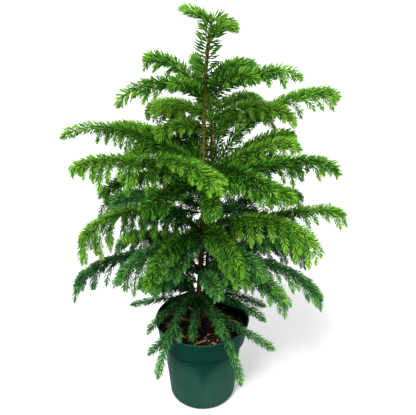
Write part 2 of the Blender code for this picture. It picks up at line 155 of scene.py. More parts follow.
# Stems: each course is (height, sideways, back), smoothed into one line
GAP = 0.3 * MM
TRUNK_COURSE = (
    (SOIL_LEVEL + GAP, -6.2 * MM, 0),
    (106 * MM, -5.4 * MM, 0),
    (154 * MM, -2.3 * MM, 0),
    (206 * MM, 0.7 * MM, 0),
    (272 * MM, 2.0 * MM, 0),
    (345 * MM, 2.8 * MM, 0),
    (385 * MM, 5.9 * MM, 0),
    (405 * MM, 8.8 * MM, 0),
)
TRUNK_FOOT_RADIUS = 3.2 * MM
TRUNK_TIP_RADIUS = 1.3 * MM
TRUNK_FLARE = 1.5 * MM
TRUNK_SIDES = 24
REAR_COURSE = (
    (SOIL_LEVEL + GAP, 1.5 * MM, 15.5 * MM),
    (108 * MM, 1.8 * MM, 16 * MM),
    (180 * MM, 6.5 * MM, 17 * MM),
    (250 * MM, 9.6 * MM, 17 * MM),
    (314 * MM, 9.9 * MM, 17 * MM),
)
REAR_FOOT_RADIUS = 2.1 * MM
REAR_TIP_RADIUS = 1.1 * MM
REAR_FLARE = 0.8 * MM
REAR_SIDES = 18
REAR_KNOT = 265 * MM
FLARE_HEIGHT = 5.6 * MM
STEM_TAPER = 0.8
STEM_STEPS_PER_SPAN = 4
BUD_HEIGHT = 3 * MM

# Bark: its leaf bases, its grain, its swelling where a whorl grows, and how far a limb
# reaches into what carries it
LEAF_BASE_HALF_LENGTH = 2.1 * MM
LEAF_BASE_HALF_WIDTH = 0.95 * MM
GRAIN_RELIEF = 0.16 * MM
GRAIN_ACROSS = 900
GRAIN_ALONG = 260
KNOT_SWELL = 0.12
KNOT_LENGTH = 3 * MM
BARK_STEP = 0.7 * MM
BOUGH_BARK_STEP = 0.8 * MM
ROOT_DEPTH = 2 * MM

# Fronds and boughs: a curve's handles are shares of its reach, and tones and girths run from
# foot to tip
CURVE_STEPS = 40
LEAVE_HANDLE = 0.42
ARRIVE_HANDLE = 0.3
BOUGH_RADIUS = 1.7 * MM
BOUGH_TAPER = 0.25
BOUGH_SIDES = 12
BOUGH_STEPS_WITHOUT_NEEDLES = 1
STAGGER = 2 * MM
FROND_STEPS = 60
# A frond is darker towards the trunk: painted shade inside the crown, and brighter new growth at its tip
FROND_TONES = (-1.3, 1.3)
FROND_GIRTHS = (1.0 * MM, 0.5 * MM)

# Twigs: the first four are ranges that each twig draws from, for its angle to the stem, its
# length and hang as shares of the rule's, and how far its tone strays. Tones and girths run
# from foot to tip. A twig that would touch the pot or the soil is cut to a smaller size.
TWIG_SPREAD = (34, 50)
TWIG_LENGTH = (0.74, 1.12)
TWIG_HANG = (0.85, 1.15)
TWIG_TONE_STRAY = (-0.5, 0.5)
TWIG_STEPS = 16
TWIG_LIFT = 0.1
TWIG_DROP = 0.6
TWIG_SHORTENING = 0.4
TWIG_CUTS = (1.0, 0.75, 0.5)
# Twigs are darker at their foot and nearer the trunk: painted shade inside the crown, and brighter new
# growth at their tips
TWIG_TONES = (-1.8, 1.1)
TWIG_TONE_RISE = 1.1
TWIG_GIRTHS = (0.6 * MM, 0.35 * MM)
SOIL_ROOM = 2 * MM
RIM_ROOM_ABOVE = 1.5 * MM
RIM_ROOM_ASIDE = 2.5 * MM

# Shoots: at a tip, needles have these shares of their length and lean and pass the line's end
# by this share of their length, and the tuft is this much brighter. FOOT_OPENING is how a
# shoot's needles grow to their length over its first tenth.
TIP_NEEDLE = 0.52
TIP_LEAN = 0.42
TIP_OVERHANG = 0.45
TIP_TONE = 0.5
TIP_TONE_CURVE = 1.5
FOOT_OPENING = ((0, 0.1), (0.8, 1))
SHOOT_STEP = 2.5 * MM
FINE_STEPS = 200
STEM_STEPS = 160
STEM_LEANS = (92, 76)
STEM_GIRTH = 0.5 * MM

# Needles: sizes are shares of their length. Those on a frond's own stem, and on the trunk and
# the rear stem, are wider by the last two factors.
NEEDLE_RADIUS = 0.051
NEEDLE_FLATNESS = 1.3
NEEDLE_WAIST = 0.55
NEEDLE_BOW = 0.12
FROND_NEEDLE_WIDTH = 1.05
STEM_NEEDLE_WIDTH = 1.35

# Stage: a lamp is its name, the way to it, its share of the key light, and its spread in degrees
LAMPS = (("key", (-0.3, -0.5, 0.8), 1, 20), ("fill", (0.7, -0.5, 0.5), 0.25, 50))
SENSOR_WIDTH = 36

Stem = namedtuple("Stem", "line radii")
Twigs = namedtuple("Twigs", "first spacing length hang needle lean tip", defaults=(0.12,))
Frond = namedtuple(
    "Frond", "name azimuth reach tip rise end tone last twigs hang", defaults=(0, 0.92, 1, 1)
)
Whorl = namedtuple("Whorl", "name stem height bare needle lean tone twigs fronds")

# Lengths are in millimetres.
#
# A whorl is its name, its stem, its height (none for the bud at a stem's top, or a place if
# it has no stem, because it grows from a frond), the bare share of its boughs, the length
# and lean of its needles, its tone (0 deepest, 5 brightest), its twigs and its fronds.
#
# A frond is its name, its azimuth, its reach, the height of its tip above the whorl, the
# angles at which it leaves the stem and ends, how much brighter it is than its whorl, the
# share of it where its twigs stop, and their size and hang.
#
# Twigs are the share of a frond where they start, the spacing of their pairs, their longest
# length, their hang, the length and lean of their needles, and the share of their length
# that is left at the frond's tip.
# Whorl and frond tones are partly painted light and shade: fronds under, behind or inside others are
# darker as painted shade, and the rear crown brighter as painted light.
WHORLS = (
    Whorl("leader", "trunk", None, 0, 13, 42, 3.7, None, (
        Frond("left", 184, 29, 13, 52, 6),
        Frond("right", 350, 24, -8, 80, -86),
        Frond("back", 85, 10, 5, 60, 10),
    )),
    Whorl("rear_leader", "rear_stem", None, 0, 9.5, 56, 4.0, Twigs(0.15, 11, 29, 0.95, 8.5, 47), (
        Frond("right", 5, 84, -3, 42, -58),
        Frond("back_right", 46, 76, 6, 52, -45, -0.4),
        Frond("back", 96, 56, 12, 50, -40, -0.8),
        Frond("back_left", 146, 72, -2, 30, -52, 0.5),
        Frond("left", 170, 60, 8, 50, -66, 0.8),
    )),
    Whorl("whorl_1", "trunk", 345, 0, 12, 58, 2.6, Twigs(0.2, 10.5, 29, 0.9, 9.5, 48), (
        Frond("right", 2, 92, 13, 37, -47, 0.3, 0.66),
        Frond("back_right", 52, 86, 16, 54, -22, 0, 0.8),
        Frond("back", 100, 67, 24, 50, -20, -0.5, 0.6, 0.6),
        Frond("back_left", 144, 75, 24, 53, -46, 0.1, 0.75),
        Frond("left", 192, 80, -9, 56, -85, 0.2, 0.6),
        Frond("front_left", 226, 44, 12, 34, -60, 0.1, 0.7, 0.55),
        Frond("front_right", 324, 58, 16, 40, -60, -0.2, 0.75, 0.7),
    )),
    Whorl("whorl_2", "trunk", 272, 0, 10.2, 58, 2.3, Twigs(0.12, 9.5, 42, 1.1, 8, 47), (
        Frond("right", 347, 131, 5, 4, -60, 0, 0.92, 0.9, 0.9),
        Frond("back", 122, 112, 44, 52, -30),
        Frond("back_left", 150, 114, 28, 42, -30, 0.4),
        Frond("left", 180, 138, 32, 43, -40, 0.3, 0.7, 0.6),
        Frond("front_left", 213, 134, 25, 18, -24, 1.0),
        Frond("front", 277, 84, -14, -12, -60, 0, 0.95, 0.5, 1.5),
        Frond("front_right", 316, 90, -8, 10, -66, 0, 0.92, 0.8),
    )),
    Whorl("whorl_3", "trunk", 206, 0.3, 9.5, 56, 2.8, Twigs(0.06, 10.5, 46, 1.2, 8, 46, 0.5), (
        Frond("right", 350, 143, 29, 14, -22, 0.2, 0.92, 0.9, 0.65),
        Frond("back", 75, 122, 16, 34, -42, -1.0),
        Frond("back_left", 154, 122, 8, 36, -50, -0.8),
        Frond("left", 192, 122, -2, 62, -86, 0.5, 0.97, 1, 1.3),
        Frond("front_left", 242, 104, -14, 34, -75, -0.6, 0.92, 0.45, 1.2),
        Frond("front", 292, 96, -4, 38, -62, -0.1, 0.92, 0.52, 1.4),
        Frond("front_right", 328, 123, 15, 34, -46, 0.8, 0.97, 0.92, 0.8),
    )),
    Whorl("whorl_4", "trunk", 160, 0.3, 9.5, 56, 1.5, Twigs(0.06, 10.5, 38, 1.1, 7.4, 46, 0.4), (
        Frond("right", 348, 128, -24, 50, -76, 0.9, 0.95, 0.9, 0.7),
        Frond("back_right", 24, 134, -14, 28, -50, -0.4),
        Frond("back", 88, 116, 0, 28, -50, -0.8),
        Frond("back_left", 142, 112, 0, 28, -55, -0.5),
        Frond("left", 187, 131, -15, 57, -84, -0.2, 0.97, 0.95),
        Frond("front_left", 230, 76, 8, 32, -66, 0.8, 0.95, 0.62),
        Frond("front", 284, 76, 9, 30, -62, 0.7, 0.92, 0.54),
        Frond("front_right", 322, 107, -4, 26, -62, 1.4, 0.95, 0.8, 0.7),
    )),
    Whorl("whorl_5", "trunk", 124, 0, 8.5, 52, 1.9, Twigs(0.4, 20, 22, 0.8, 8, 50), (
        Frond("left", 176, 77, -12, 10, -16, -0.6, 0),
        Frond("low_left", 240, 81, -50, 56, -86, 0.4, 0.6),
        Frond("front", 262, 40, -28, 20, -86, 0, 0),
        Frond("low_right", 299, 89, -52, 20, -84, 0, 0),
        Frond("front_right", 319, 103, -16, -14, -8, 0, 0),
        Frond("right", 345, 76, -17, 16, -44, -0.3, 0.7, 0.6),
    )),
    Whorl("rear_whorl", "rear_stem", 265, 0, 11, 56, 3.5, Twigs(0.3, 11, 46, 0.85, 9, 48), (
        Frond("low_right", 347, 89, 27, 40, -60, 0.2, 0.92, 0.8),
        Frond("right", 24, 154, 62, 64, -36, -0.4),
        Frond("back_right", 74, 84, 36, 52, -30, -0.4),
    )),
)

# Fronds behind and between those of the solids, which close the crown where it is dense.
# Each of these whorls is grown with the tier that it is named for.
# Their tones are partly painted light and shade, like those of the whorls above.
FILLERS = (
    Whorl("leader", "trunk", 399, 0, 12, 46, 3.4, None, (
        Frond("right_low", 348, 25, 6, 62, -76, 0.4),
        Frond("near_right", 326, 20, 8, 60, -60, 0),
        Frond("near", 265, 8, 4, 60, 10, -0.8),
        Frond("far_left", 140, 14, 7, 60, 10, -0.8),
    )),
    Whorl("whorl_2", None, (-52, -35, 294), 0, 8.8, 50, 3.2, Twigs(0.12, 11, 34, 0.5, 8.2, 50), (
        Frond("side", 325, 86, -15, 22, -62, 0, 0.8, 0.8),
    )),
    Whorl("rear_leader", "rear_stem", 304, 0, 9.5, 56, 3.8, Twigs(0.15, 9.5, 25, 0.9, 8, 48), (
        Frond("near_right", 14, 62, 10, 62, -68),
        Frond("near_left", 194, 60, 0, 40, -60, 0.2),
    )),
    Whorl("rear_whorl", "rear_stem", 268, 0, 10, 56, 3.3, Twigs(0.1, 11, 38, 0.9, 8.6, 48), (
        Frond("far_right", 4, 86, 29, 42, -52, -0.3),
        Frond("left", 196, 88, 18, 38, -45),
        Frond("far_left", 160, 84, 30, 46, -35),
        Frond("back", 118, 70, 34, 52, -30, -0.6),
    )),
    Whorl("whorl_2", "trunk", 258, 0, 11, 58, 2.2, Twigs(0.1, 10, 38, 0.7, 8.5, 54), (
        Frond("half_left", 236, 90, -4, 22, -60, -0.9, 0.92, 0.7),
        Frond("low_left", 200, 104, -2, 26, -55, -0.6, 0.92, 0.7),
        Frond("half_right", 332, 96, -4, 20, -60, 0.4, 0.92, 0.8),
        Frond("low_right", 8, 100, 10, 32, -45),
    )),
    Whorl("whorl_3_inner", "rear_stem", 216, 0, 9.5, 56, 2.3, Twigs(0.06, 9.5, 40, 0.9, 8.4, 54), (
        Frond("half_right", 12, 104, 10, 30, -45),
        Frond("half_back", 112, 92, 12, 34, -40),
        Frond("half_left", 172, 108, 6, 32, -50),
    )),
    Whorl("whorl_3_inner", "trunk", 230, 0, 9.5, 56, 1.6, Twigs(0.06, 10, 24, 0.9, 7.5, 54), (
        Frond("high_left", 200, 64, -8, 16, -60),
        Frond("high_right", 338, 72, -6, 16, -60, 0.3),
    )),
    Whorl("whorl_3_inner", "trunk", 196, 0, 9.5, 56, 2.0, Twigs(0.06, 9, 40, 1, 7.2, 54), (
        Frond("low_left", 218, 100, -18, 26, -70, 0.2),
        Frond("low_front", 244, 72, -10, 24, -70, 0, 0.92, 0.6),
        Frond("low_right", 308, 92, -8, 28, -66, 0.3, 0.92, 0.8),
        Frond("far_right", 342, 108, 6, 30, -60, 0.4),
    )),
    Whorl("whorl_4_inner", "rear_stem", 168, 0, 10, 56, 1.2, Twigs(0.06, 11, 34, 0.7, 7.5, 52), (
        Frond("half_right", 356, 112, 4, 34, -44, 0.4),
        Frond("half_back", 56, 90, -8, 26, -50),
        Frond("half_left", 166, 108, -4, 26, -55, 0.6),
    )),
    Whorl("whorl_4_inner", "trunk", 148, 0, 10, 56, 1.0, Twigs(0.06, 11, 34, 0.9, 7.5, 52), (
        Frond("low_left", 206, 70, 6, 34, -60, 0.2, 0.92, 0.6),
        Frond("low_right", 336, 90, -4, 30, -60, 0.2, 0.92, 0.6),
        Frond("back_left", 168, 48, -10, 4, -30, -0.8, 0.92, 0.6),
        Frond("back_right", 22, 48, -10, 4, -30, -0.8, 0.92, 0.6),
    )),
    Whorl("whorl_5", "trunk", 134, 0, 9, 56, 1.2, Twigs(0.1, 10, 18, 0.6, 8, 54), (
        Frond("near_left", 204, 54, 8, 46, -50),
        Frond("near_right", 336, 46, 10, 46, -50),
        Frond("far_left", 160, 58, -1, 40, -40),
        Frond("back_left", 164, 50, -6, 12, -40, -0.4),
        Frond("back_right", 20, 46, -6, 12, -40, -0.4),
    )),
    Whorl("whorl_5", None, (-34, -52, 107), 0, 8.5, 52, 2.2, None, (
        Frond("twig", 200, 22, -12, 4, -60),
    )),
    Whorl("whorl_5", "trunk", 124, 0, 8.5, 52, 1.8, Twigs(0.4, 20, 16, 0.8, 8, 50), (
        Frond("half_left", 206, 61, -28, 24, -60, 0, 0),
        Frond("half_right", 296, 58, -14, 4, -60, 0, 0),
        Frond("far_right", 4, 76, -14, 14, -24, -0.6, 0),
    )),
)

# Needles on the stems themselves: tier, stem, lowest and highest place, the needles' lengths
# there, the rise from one to the next, and tone
STEM_NEEDLES = (
    ("leader", "trunk", 342, 408, (13, 17), 0.45, 2.2),
    ("leader", "trunk", 276, 342, (7, 9), 0.7, 1.8),
    ("rear_leader", "rear_stem", 180, 313, (7, 9), 0.7, 1.6),
)

# The inner and lower tiers take bluer tones, as painted shade under the sky's light
SKY_SHADE_TIERS = ("whorl_3_inner", "whorl_4", "whorl_4_inner", "whorl_5")

# A chip is its place (x, y), length, width, thickness, turn, tilt, and 1 for red bark or 0
# for tan wood
Chip = namedtuple("Chip", "x y length width thick turn tilt red")
CHIPS = (
    Chip(-24, 11, 15, 5, 2.2, 4, 6, 1),
    Chip(33, 8, 17, 6, 2.4, -12, 8, 1),
    Chip(28, 14, 11, 4, 2, 30, -8, 1),
    Chip(-1.5, -29, 19, 4.2, 1.8, 42, 12, 0),
    Chip(-7, -37, 12, 3.6, 1.6, 20, 4, 0),
    Chip(-21, -19, 6, 3, 1.6, -35, 14, 0),
    Chip(-27, -26, 8, 3, 1.4, 60, -10, 0),
    Chip(14, -33, 9, 3.5, 1.5, -50, 7, 0),
    Chip(40, -4, 9, 4, 1.6, 75, -6, 1),
    Chip(-38, 0, 10, 4, 1.8, 80, 9, 1),
    Chip(12, 30, 13, 5, 2, 25, 5, 1),
    Chip(-16, 34, 12, 4, 1.8, -40, 8, 0),
    Chip(-34, 22, 9, 4, 1.6, 10, -7, 1),
    Chip(20, -12, 8, 3, 1.4, 15, 10, 1),
)
CHIP_STEPS = 7
CHIP_SECTION = ((-1, 0), (-0.4, 1), (0.4, 1), (1, 0), (0.4, -0.7), (-0.4, -0.7))


# Settings


def a_length(name, description, default):
    return FloatProperty(
        name=name, description=description, default=default, min=0, subtype="DISTANCE", unit="LENGTH"
    )


def a_share(name, description, default, most=1.0):
    return FloatProperty(name=name, description=description, default=default, min=0, max=most)


def an_angle(name, description, degrees):
    return FloatProperty(
        name=name, description=description, default=math.radians(degrees), subtype="ANGLE"
    )


def a_colour(name, place, default):
    words = f"Colour of {place}"
    return FloatVectorProperty(
        name=name, description=words, default=default, size=3, min=0, max=1, subtype="COLOR"
    )


def a_count(name, description, default):
    return IntProperty(name=name, description=description, default=default, min=0)


class PotSettings(PropertyGroup):
    """The nursery pot's sizes and colours."""

    bead: a_length("Rim bead", "Radius of the rolled edge round the rim", 0.9 * MM)
    groove: a_length("Groove", "Depth of the two fine grooves under the band", 0.45 * MM)
    sway: a_length("Sway", "How far the thin wall strays from a true circle", 0.4 * MM)
    holes: a_count("Drain holes", "Holes through the underside", 6)
    hole_radius: a_length("Hole radius", "Radius of a drain hole", 3.5 * MM)
    green: a_colour("Green", "the plastic", (0.0012, 0.026, 0.019))
    # Haze colour: dust and a painted sheen of reflected light on the lower wall, and a painted highlight
    # at the rim
    sheen_haze: a_colour("Haze", "the dusty haze on the lower wall", (0.018, 0.06, 0.042))
    # Inside colour: painted shade on the inner wall, near black
    inside: a_colour("Inside", "the soiled inside", (0.001, 0.003, 0.002))


class SoilSettings(PropertyGroup):
    """The potting mix."""

    relief: a_length("Relief", "Height of the surface's lumps", 1.6 * MM)
    grain_density: FloatProperty(
        name="Grain density", description="Grains on each square metre", default=260000, min=0
    )
    smallest: a_length("Smallest grain", "Length of the smallest grains", 1.1 * MM)
    largest: a_length("Largest grain", "Length of the largest grains", 4.2 * MM)
    seed: a_count("Seed", "Seed of the scatter", 4)
    dark: a_colour("Dark", "damp peat", (0.005, 0.003, 0.002))
    brown: a_colour("Brown", "bark crumbs", (0.055, 0.024, 0.01))
    tan: a_colour("Tan", "dry wood bits", (0.36, 0.2, 0.09))
    red: a_colour("Red", "the red bark chips", (0.27, 0.085, 0.03))


class BarkSettings(PropertyGroup):
    """The bark of trunk, stem and boughs."""

    scar: a_length("Leaf base", "Height of the old leaf bases that stand on the bark", 0.45 * MM)
    scar_pitch: a_length("Leaf base pitch", "Rise from one leaf base to the next", 0.55 * MM)
    brown: a_colour("Brown", "older bark", (0.18, 0.105, 0.016))
    # Dark is also the painted shade mixed into the bark between the lower whorls
    dark: a_colour("Dark", "the cracks", (0.022, 0.016, 0.003))
    # Bough colour: painted shade, a near black olive for the boughs inside the crown
    bough: a_colour("Bough", "the boughs", (0.03, 0.03, 0.006))
    olive: a_colour("Olive", "young bark towards the top", (0.13, 0.17, 0.024))
    shoot: a_colour("Shoot", "the shoots under the needles", (0.03, 0.045, 0.008))


class FoliageSettings(PropertyGroup):
    """The needles and shoots."""

    seed: a_count("Seed", "Seed of the growth rule", 11)
    pitch: a_share("Needle pitch", "Rise from one needle to the next, as a share of its length", 0.043)
    frond_pitch: a_share("Frond pitch", "The same for the needles on a frond's own stem", 0.0235)
    tip_pitch: a_share("Tip pitch", "The same for the needles added at a shoot's tip", 0.055)
    tuft: a_length("Tuft", "Length of the dense tuft at a shoot's tip", 7 * MM)
    taper: a_length("Taper", "Length over which a shoot's end closes to its tip", 8 * MM)
    jitter: a_share("Jitter", "How far needles stray from their lean, in radians", 0.18)
    mottle: a_share("Mottle", "How far a needle's tone strays from its spray's", 1.7, 3)
    # Painted light: needles that point up are brighter and those that point down darker, as if lit from
    # above
    glow: a_share("Glow", "How much brighter a needle is that points straight up", 0.9, 3)
    tone_0: a_colour("Tone 0", "the deepest needles, inside the crown", (0.003, 0.03, 0.003))
    tone_1: a_colour("Tone 1", "deep green needles", (0.011, 0.072, 0.005))
    tone_2: a_colour("Tone 2", "leaf green needles", (0.032, 0.137, 0.01))
    tone_3: a_colour("Tone 3", "fresh green needles", (0.073, 0.228, 0.016))
    tone_4: a_colour("Tone 4", "bright green needles", (0.132, 0.345, 0.023))
    tone_5: a_colour("Tone 5", "new tips", (0.22, 0.455, 0.042))
    # These bluer tones serve the inner and lower tiers as painted shade
    old_0: a_colour("Old tone 0", "the deepest of the older needles", (0.004, 0.035, 0.012))
    old_1: a_colour("Old tone 1", "deep green older needles", (0.013, 0.08, 0.024))
    old_2: a_colour("Old tone 2", "green older needles", (0.031, 0.14, 0.034))
    old_3: a_colour("Old tone 3", "fresh green older needles", (0.062, 0.222, 0.043))
    old_4: a_colour("Old tone 4", "bright green older needles", (0.12, 0.328, 0.062))


class StageSettings(PropertyGroup):
    """Floor, light and camera."""

    floor: a_colour("Floor", "the floor", (0.86, 0.86, 0.86))
    floor_size: a_length("Floor size", "Width of the floor", 60)
    sky: a_share("Sky", "Strength of the even light from all round", 0.9, 10)
    key: a_share("Key", "Strength of the soft key light", 3.4, 100)
    camera_place: FloatVectorProperty(
        name="Camera place",
        description="Where the camera stands",
        default=(6.3 * MM, -477 * MM, 441.5 * MM),
        size=3,
        subtype="TRANSLATION",
        unit="LENGTH",
    )
    camera_tilt: an_angle("Camera tilt", "How far the camera looks down", 23.6)
    lens: FloatProperty(name="Lens", description="Focal length in millimetres", default=44.57)


class PineSettings(PropertyGroup):
    """All sizes and colours of the dressed plant."""

    pot: PointerProperty(type=PotSettings)
    soil: PointerProperty(type=SoilSettings)
    bark: PointerProperty(type=BarkSettings)
    foliage: PointerProperty(type=FoliageSettings)
    stage: PointerProperty(type=StageSettings)


# Node trees


class Wire:
    """One socket that gives a value. Arithmetic on it adds Math nodes to its tree."""

    def __init__(self, nodes, socket):
        self.nodes = nodes
        self.socket = socket

    def twin(self, name):
        """Another output of the same node."""
        return Wire(self.nodes, self.socket.node.outputs[name])

    def __add__(self, other):
        return self.nodes.math("ADD", self, other)

    def __sub__(self, other):
        return self.nodes.math("SUBTRACT", self, other)

    def __rsub__(self, other):
        return self.nodes.math("SUBTRACT", other, self)

    def __mul__(self, other):
        return self.nodes.math("MULTIPLY", self, other)

    __radd__ = __add__
    __rmul__ = __mul__


class Nodes:
    """A node tree with one method that adds any node."""

    def __init__(self, tree):
        self.tree = tree

    def add(self, kind, settings=None, inputs=None, output=0):
        """A new node: its settings first, then its inputs by name or number, as values or wires."""
        node = self.tree.nodes.new(kind)
        for key, value in (settings or {}).items():
            setattr(node, key, value)
        for key, value in (inputs or {}).items():
            self.feed(self.socket_of(node, key), value)
        return Wire(self, node.outputs[output])

    def socket_of(self, node, key):
        if isinstance(key, int):
            return node.inputs[key]
        return next(s for s in node.inputs if s.enabled and s.name == key)

    def feed(self, socket, value):
        if isinstance(value, Wire):
            self.tree.links.new(value.socket, socket)
        else:
            socket.default_value = value

    def math(self, operation, first, second=0.0):
        return self.add("ShaderNodeMath", {"operation": operation}, {0: first, 1: second})

    def part(self, vector, axis):
        """One coordinate of a vector."""
        return self.add("ShaderNodeSeparateXYZ", inputs={"Vector": vector}, output=axis)


class Finish(Nodes):
    """A material: a Principled shader and the nodes that feed it."""

    def __init__(self, name, colour, roughness, specular=0.5):
        self.material = bpy.data.materials.new(name)
        self.material.use_nodes = True
        super().__init__(self.material.node_tree)
        self.shader = self.tree.nodes["Principled BSDF"]
        self.set("Base Color", (*colour, 1))
        self.set("Roughness", roughness)
        self.set("Specular IOR Level", specular)

    def set(self, name, value):
        self.feed(self.shader.inputs[name], value)

    def place(self, stretch=(1, 1, 1)):
        """Object coordinates, stretched."""
        place = self.add("ShaderNodeTexCoord", output="Object")
        return self.add("ShaderNodeMapping", inputs={"Vector": place, "Scale": stretch})

    def noise(self, place, scale, detail=3.0, roughness=0.5):
        inputs = {"Vector": place, "Scale": scale, "Detail": detail, "Roughness": roughness}
        return self.add("ShaderNodeTexNoise", inputs=inputs)

    def ramp(self, value, low, high, first=0.0, last=1.0):
        """A value from first to last while the input goes from low to high."""
        inputs = {"Value": value, "From Min": low, "From Max": high, "To Min": first, "To Max": last}
        return self.add("ShaderNodeMapRange", {"clamp": True}, inputs)

    def mix(self, factor, first, second):
        """A colour between two others, each a wire or three numbers."""
        ends = [c if isinstance(c, Wire) else (*c, 1) for c in (first, second)]
        inputs = {"Factor": factor, "A": ends[0], "B": ends[1]}
        return self.add("ShaderNodeMix", {"data_type": "RGBA"}, inputs, "Result")

    def bump(self, height, distance, strength=1.0):
        inputs = {"Height": height, "Distance": distance, "Strength": strength}
        self.set("Normal", self.add("ShaderNodeBump", inputs=inputs))


class Growth(Nodes):
    """A geometry tree whose named inputs are given as a name and a kind of socket each."""

    def __init__(self, name, kinds):
        super().__init__(bpy.data.node_groups.new(name, "GeometryNodeTree"))
        sockets = self.tree.interface
        sockets.new_socket(name="Geometry", in_out="OUTPUT", socket_type="NodeSocketGeometry")
        for key, kind in kinds.items():
            sockets.new_socket(name=key, in_out="INPUT", socket_type="NodeSocket" + kind)
        source = self.tree.nodes.new("NodeGroupInput")
        self.inputs = [Wire(self, source.outputs[key]) for key in kinds]
        self.end = self.tree.nodes.new("NodeGroupOutput")

    def attribute(self, name, kind="FLOAT"):
        return self.add("GeometryNodeInputNamedAttribute", {"data_type": kind}, {"Name": name})

    def random(self, low, high, seed, offset=0, kind="FLOAT", output=1):
        inputs = {"Min": low, "Max": high, "Seed": seed + offset}
        return self.add("FunctionNodeRandomValue", {"data_type": kind}, inputs, output)

    def turn(self, rotation, axis, angle):
        """A rotation, turned by an angle about one of its own axes."""
        turned = self.add("FunctionNodeAxisAngleToRotation", inputs={"Axis": axis, "Angle": angle})
        inputs = {"Rotation": rotation, "Rotate By": turned}
        return self.add("FunctionNodeRotateRotation", {"rotation_space": "LOCAL"}, inputs)

    def tinted(self, points, tint):
        """Points that carry the number of the material that their shapes will have."""
        settings = {"data_type": "INT", "domain": "POINT"}
        inputs = {"Geometry": points, "Name": "tint", "Value": tint}
        return self.add("GeometryNodeStoreNamedAttribute", settings, inputs)

    def finish(self, shapes, materials):
        """Gives all the first material, makes instances real, then gives the others by tint."""
        inputs = {"Geometry": shapes, "Material": materials[0]}
        shapes = self.add("GeometryNodeSetMaterial", inputs=inputs)
        # Made real with no material yet, they would keep an empty slot.
        shapes = self.add("GeometryNodeRealizeInstances", inputs={"Geometry": shapes})
        settings = {"data_type": "INT", "operation": "EQUAL"}
        for number, material in enumerate(materials[1:], start=1):
            ends = {"A": self.attribute("tint", "INT"), "B": number}
            same = self.add("FunctionNodeCompare", settings, ends)
            inputs = {"Geometry": shapes, "Selection": same, "Material": material}
            shapes = self.add("GeometryNodeSetMaterial", inputs=inputs)
        self.feed(self.end.inputs["Geometry"], shapes)

    def grow(self, name, mesh, values):
        """The tree's result on a mesh, as a plain mesh object."""
        made = add_object(name, mesh)
        modifier = made.modifiers.new("Growth", "NODES")
        modifier.node_group = self.tree
        for item in self.tree.interface.items_tree:
            if item.name in values:
                modifier[item.identifier] = values[item.name]
        settle(made)
        attributes = made.data.attributes
        for key in (*SHOOT_VALUES, "tint"):
            if key in attributes:
                attributes.remove(attributes[key])
        return made


# Meshes


def add_object(name, data, material=None):
    made = bpy.data.objects.new(name, data)
    bpy.context.scene.collection.objects.link(made)
    if material:
        data.materials.clear()
        data.materials.append(material)
    return made


def mesh_of(shape, name):
    mesh = bpy.data.meshes.new(name)
    shape.to_mesh(mesh)
    shape.free()
    return mesh


def settle(made):
    """Gives an object the mesh that its modifiers make of it, and removes them."""
    graph = bpy.context.evaluated_depsgraph_get()
    graph.update()
    made.data = bpy.data.meshes.new_from_object(made.evaluated_get(graph))
    made.modifiers.clear()


def smooth(mesh, angle=60):
    mesh.shade_smooth()
    mesh.set_sharp_from_angle(angle=math.radians(angle))


def rides(made, slot, *nodes):
    """Ties a finished piece to the plant's body, and hides the nodes it stands for. The slot is not used.
    """
    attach(made, BODY)
    if nodes:
        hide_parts(*nodes)


def on_circle(radius, angle):
    return radius * math.cos(angle), radius * math.sin(angle)


def arc(centre, radius, first, last, steps):
    """Points (radius, height) on an arc, between two angles in degrees."""
    angles = (math.radians(first + (last - first) * k / steps) for k in range(steps + 1))
    offsets = (on_circle(radius, angle) for angle in angles)
    return [(centre[0] + across, centre[1] + up) for across, up in offsets]


def stepped(first, last, steps):
    """Points at equal steps from one to another, with both of them."""
    shares = (k / steps for k in range(steps + 1))
    return [tuple(a + (b - a) * share for a, b in zip(first, last)) for share in shares]


def skin(shape, rings):
    """A closed skin over rings of corners. An end is a cap, or a pole of one corner repeated."""
    for low, high in zip(rings, rings[1:]):
        for k in range(len(low)):
            after = (k + 1) % len(low)
            corners = (low[k], low[after], high[after], high[k])
            shape.faces.new(list(dict.fromkeys(corners)))
    for end in (rings[0], rings[-1]):
        if end[0] != end[1]:
            shape.faces.new(end)
    bmesh.ops.recalc_face_normals(shape, faces=shape.faces)


def turned(name, profile, sides, sway):
    """A closed shell turned round Z from a profile that starts and ends on the axis.

    sway(angle, height) gives how much larger the radius is there, as a share of it.
    """
    shape = bmesh.new()
    rings = []
    for radius, height in profile:
        if radius == 0:
            rings.append([shape.verts.new((0, 0, height))] * sides)
            continue
        ring = []
        for k in range(sides):
            angle = FULL_TURN * k / sides
            place = on_circle(radius * (1 + sway(angle, height)), angle)
            ring.append(shape.verts.new((*place, height)))
        rings.append(ring)
    skin(shape, rings)
    return mesh_of(shape, name)


# Pot


def pot_inside():
    """The pot's inner wall as (radius, height) points, from the floor to the rim."""
    foot = BASE_RADIUS - POT_WALL
    return [
        (foot - BASE_ROUND / 2, POT_FLOOR),
        (foot + 0.3 * MM, POT_FLOOR + BASE_ROUND / 2),
        (SHOULDER_RADIUS - POT_WALL, SHOULDER_HEIGHT),
        (BAND_FOOT_RADIUS - POT_WALL, BAND_FOOT_HEIGHT),
        (RIM_RADIUS - POT_WALL, POT_HEIGHT - POT_WALL / 2),
    ]


def radius_inside(height):
    """The pot's inner radius at a height."""
    wall = pot_inside()
    for (radius, low), (radius2, high) in zip(wall, wall[1:]):
        if height <= high:
            return radius + (radius2 - radius) * (height - low) / (high - low)
    return wall[-1][0]


def on_wall(height):
    """The point of the pot's plain lower wall at a height, outside."""
    share = (height - BASE_ROUND) / (SHOULDER_HEIGHT - BASE_ROUND)
    return BASE_RADIUS + (SHOULDER_RADIUS - BASE_RADIUS) * share, height


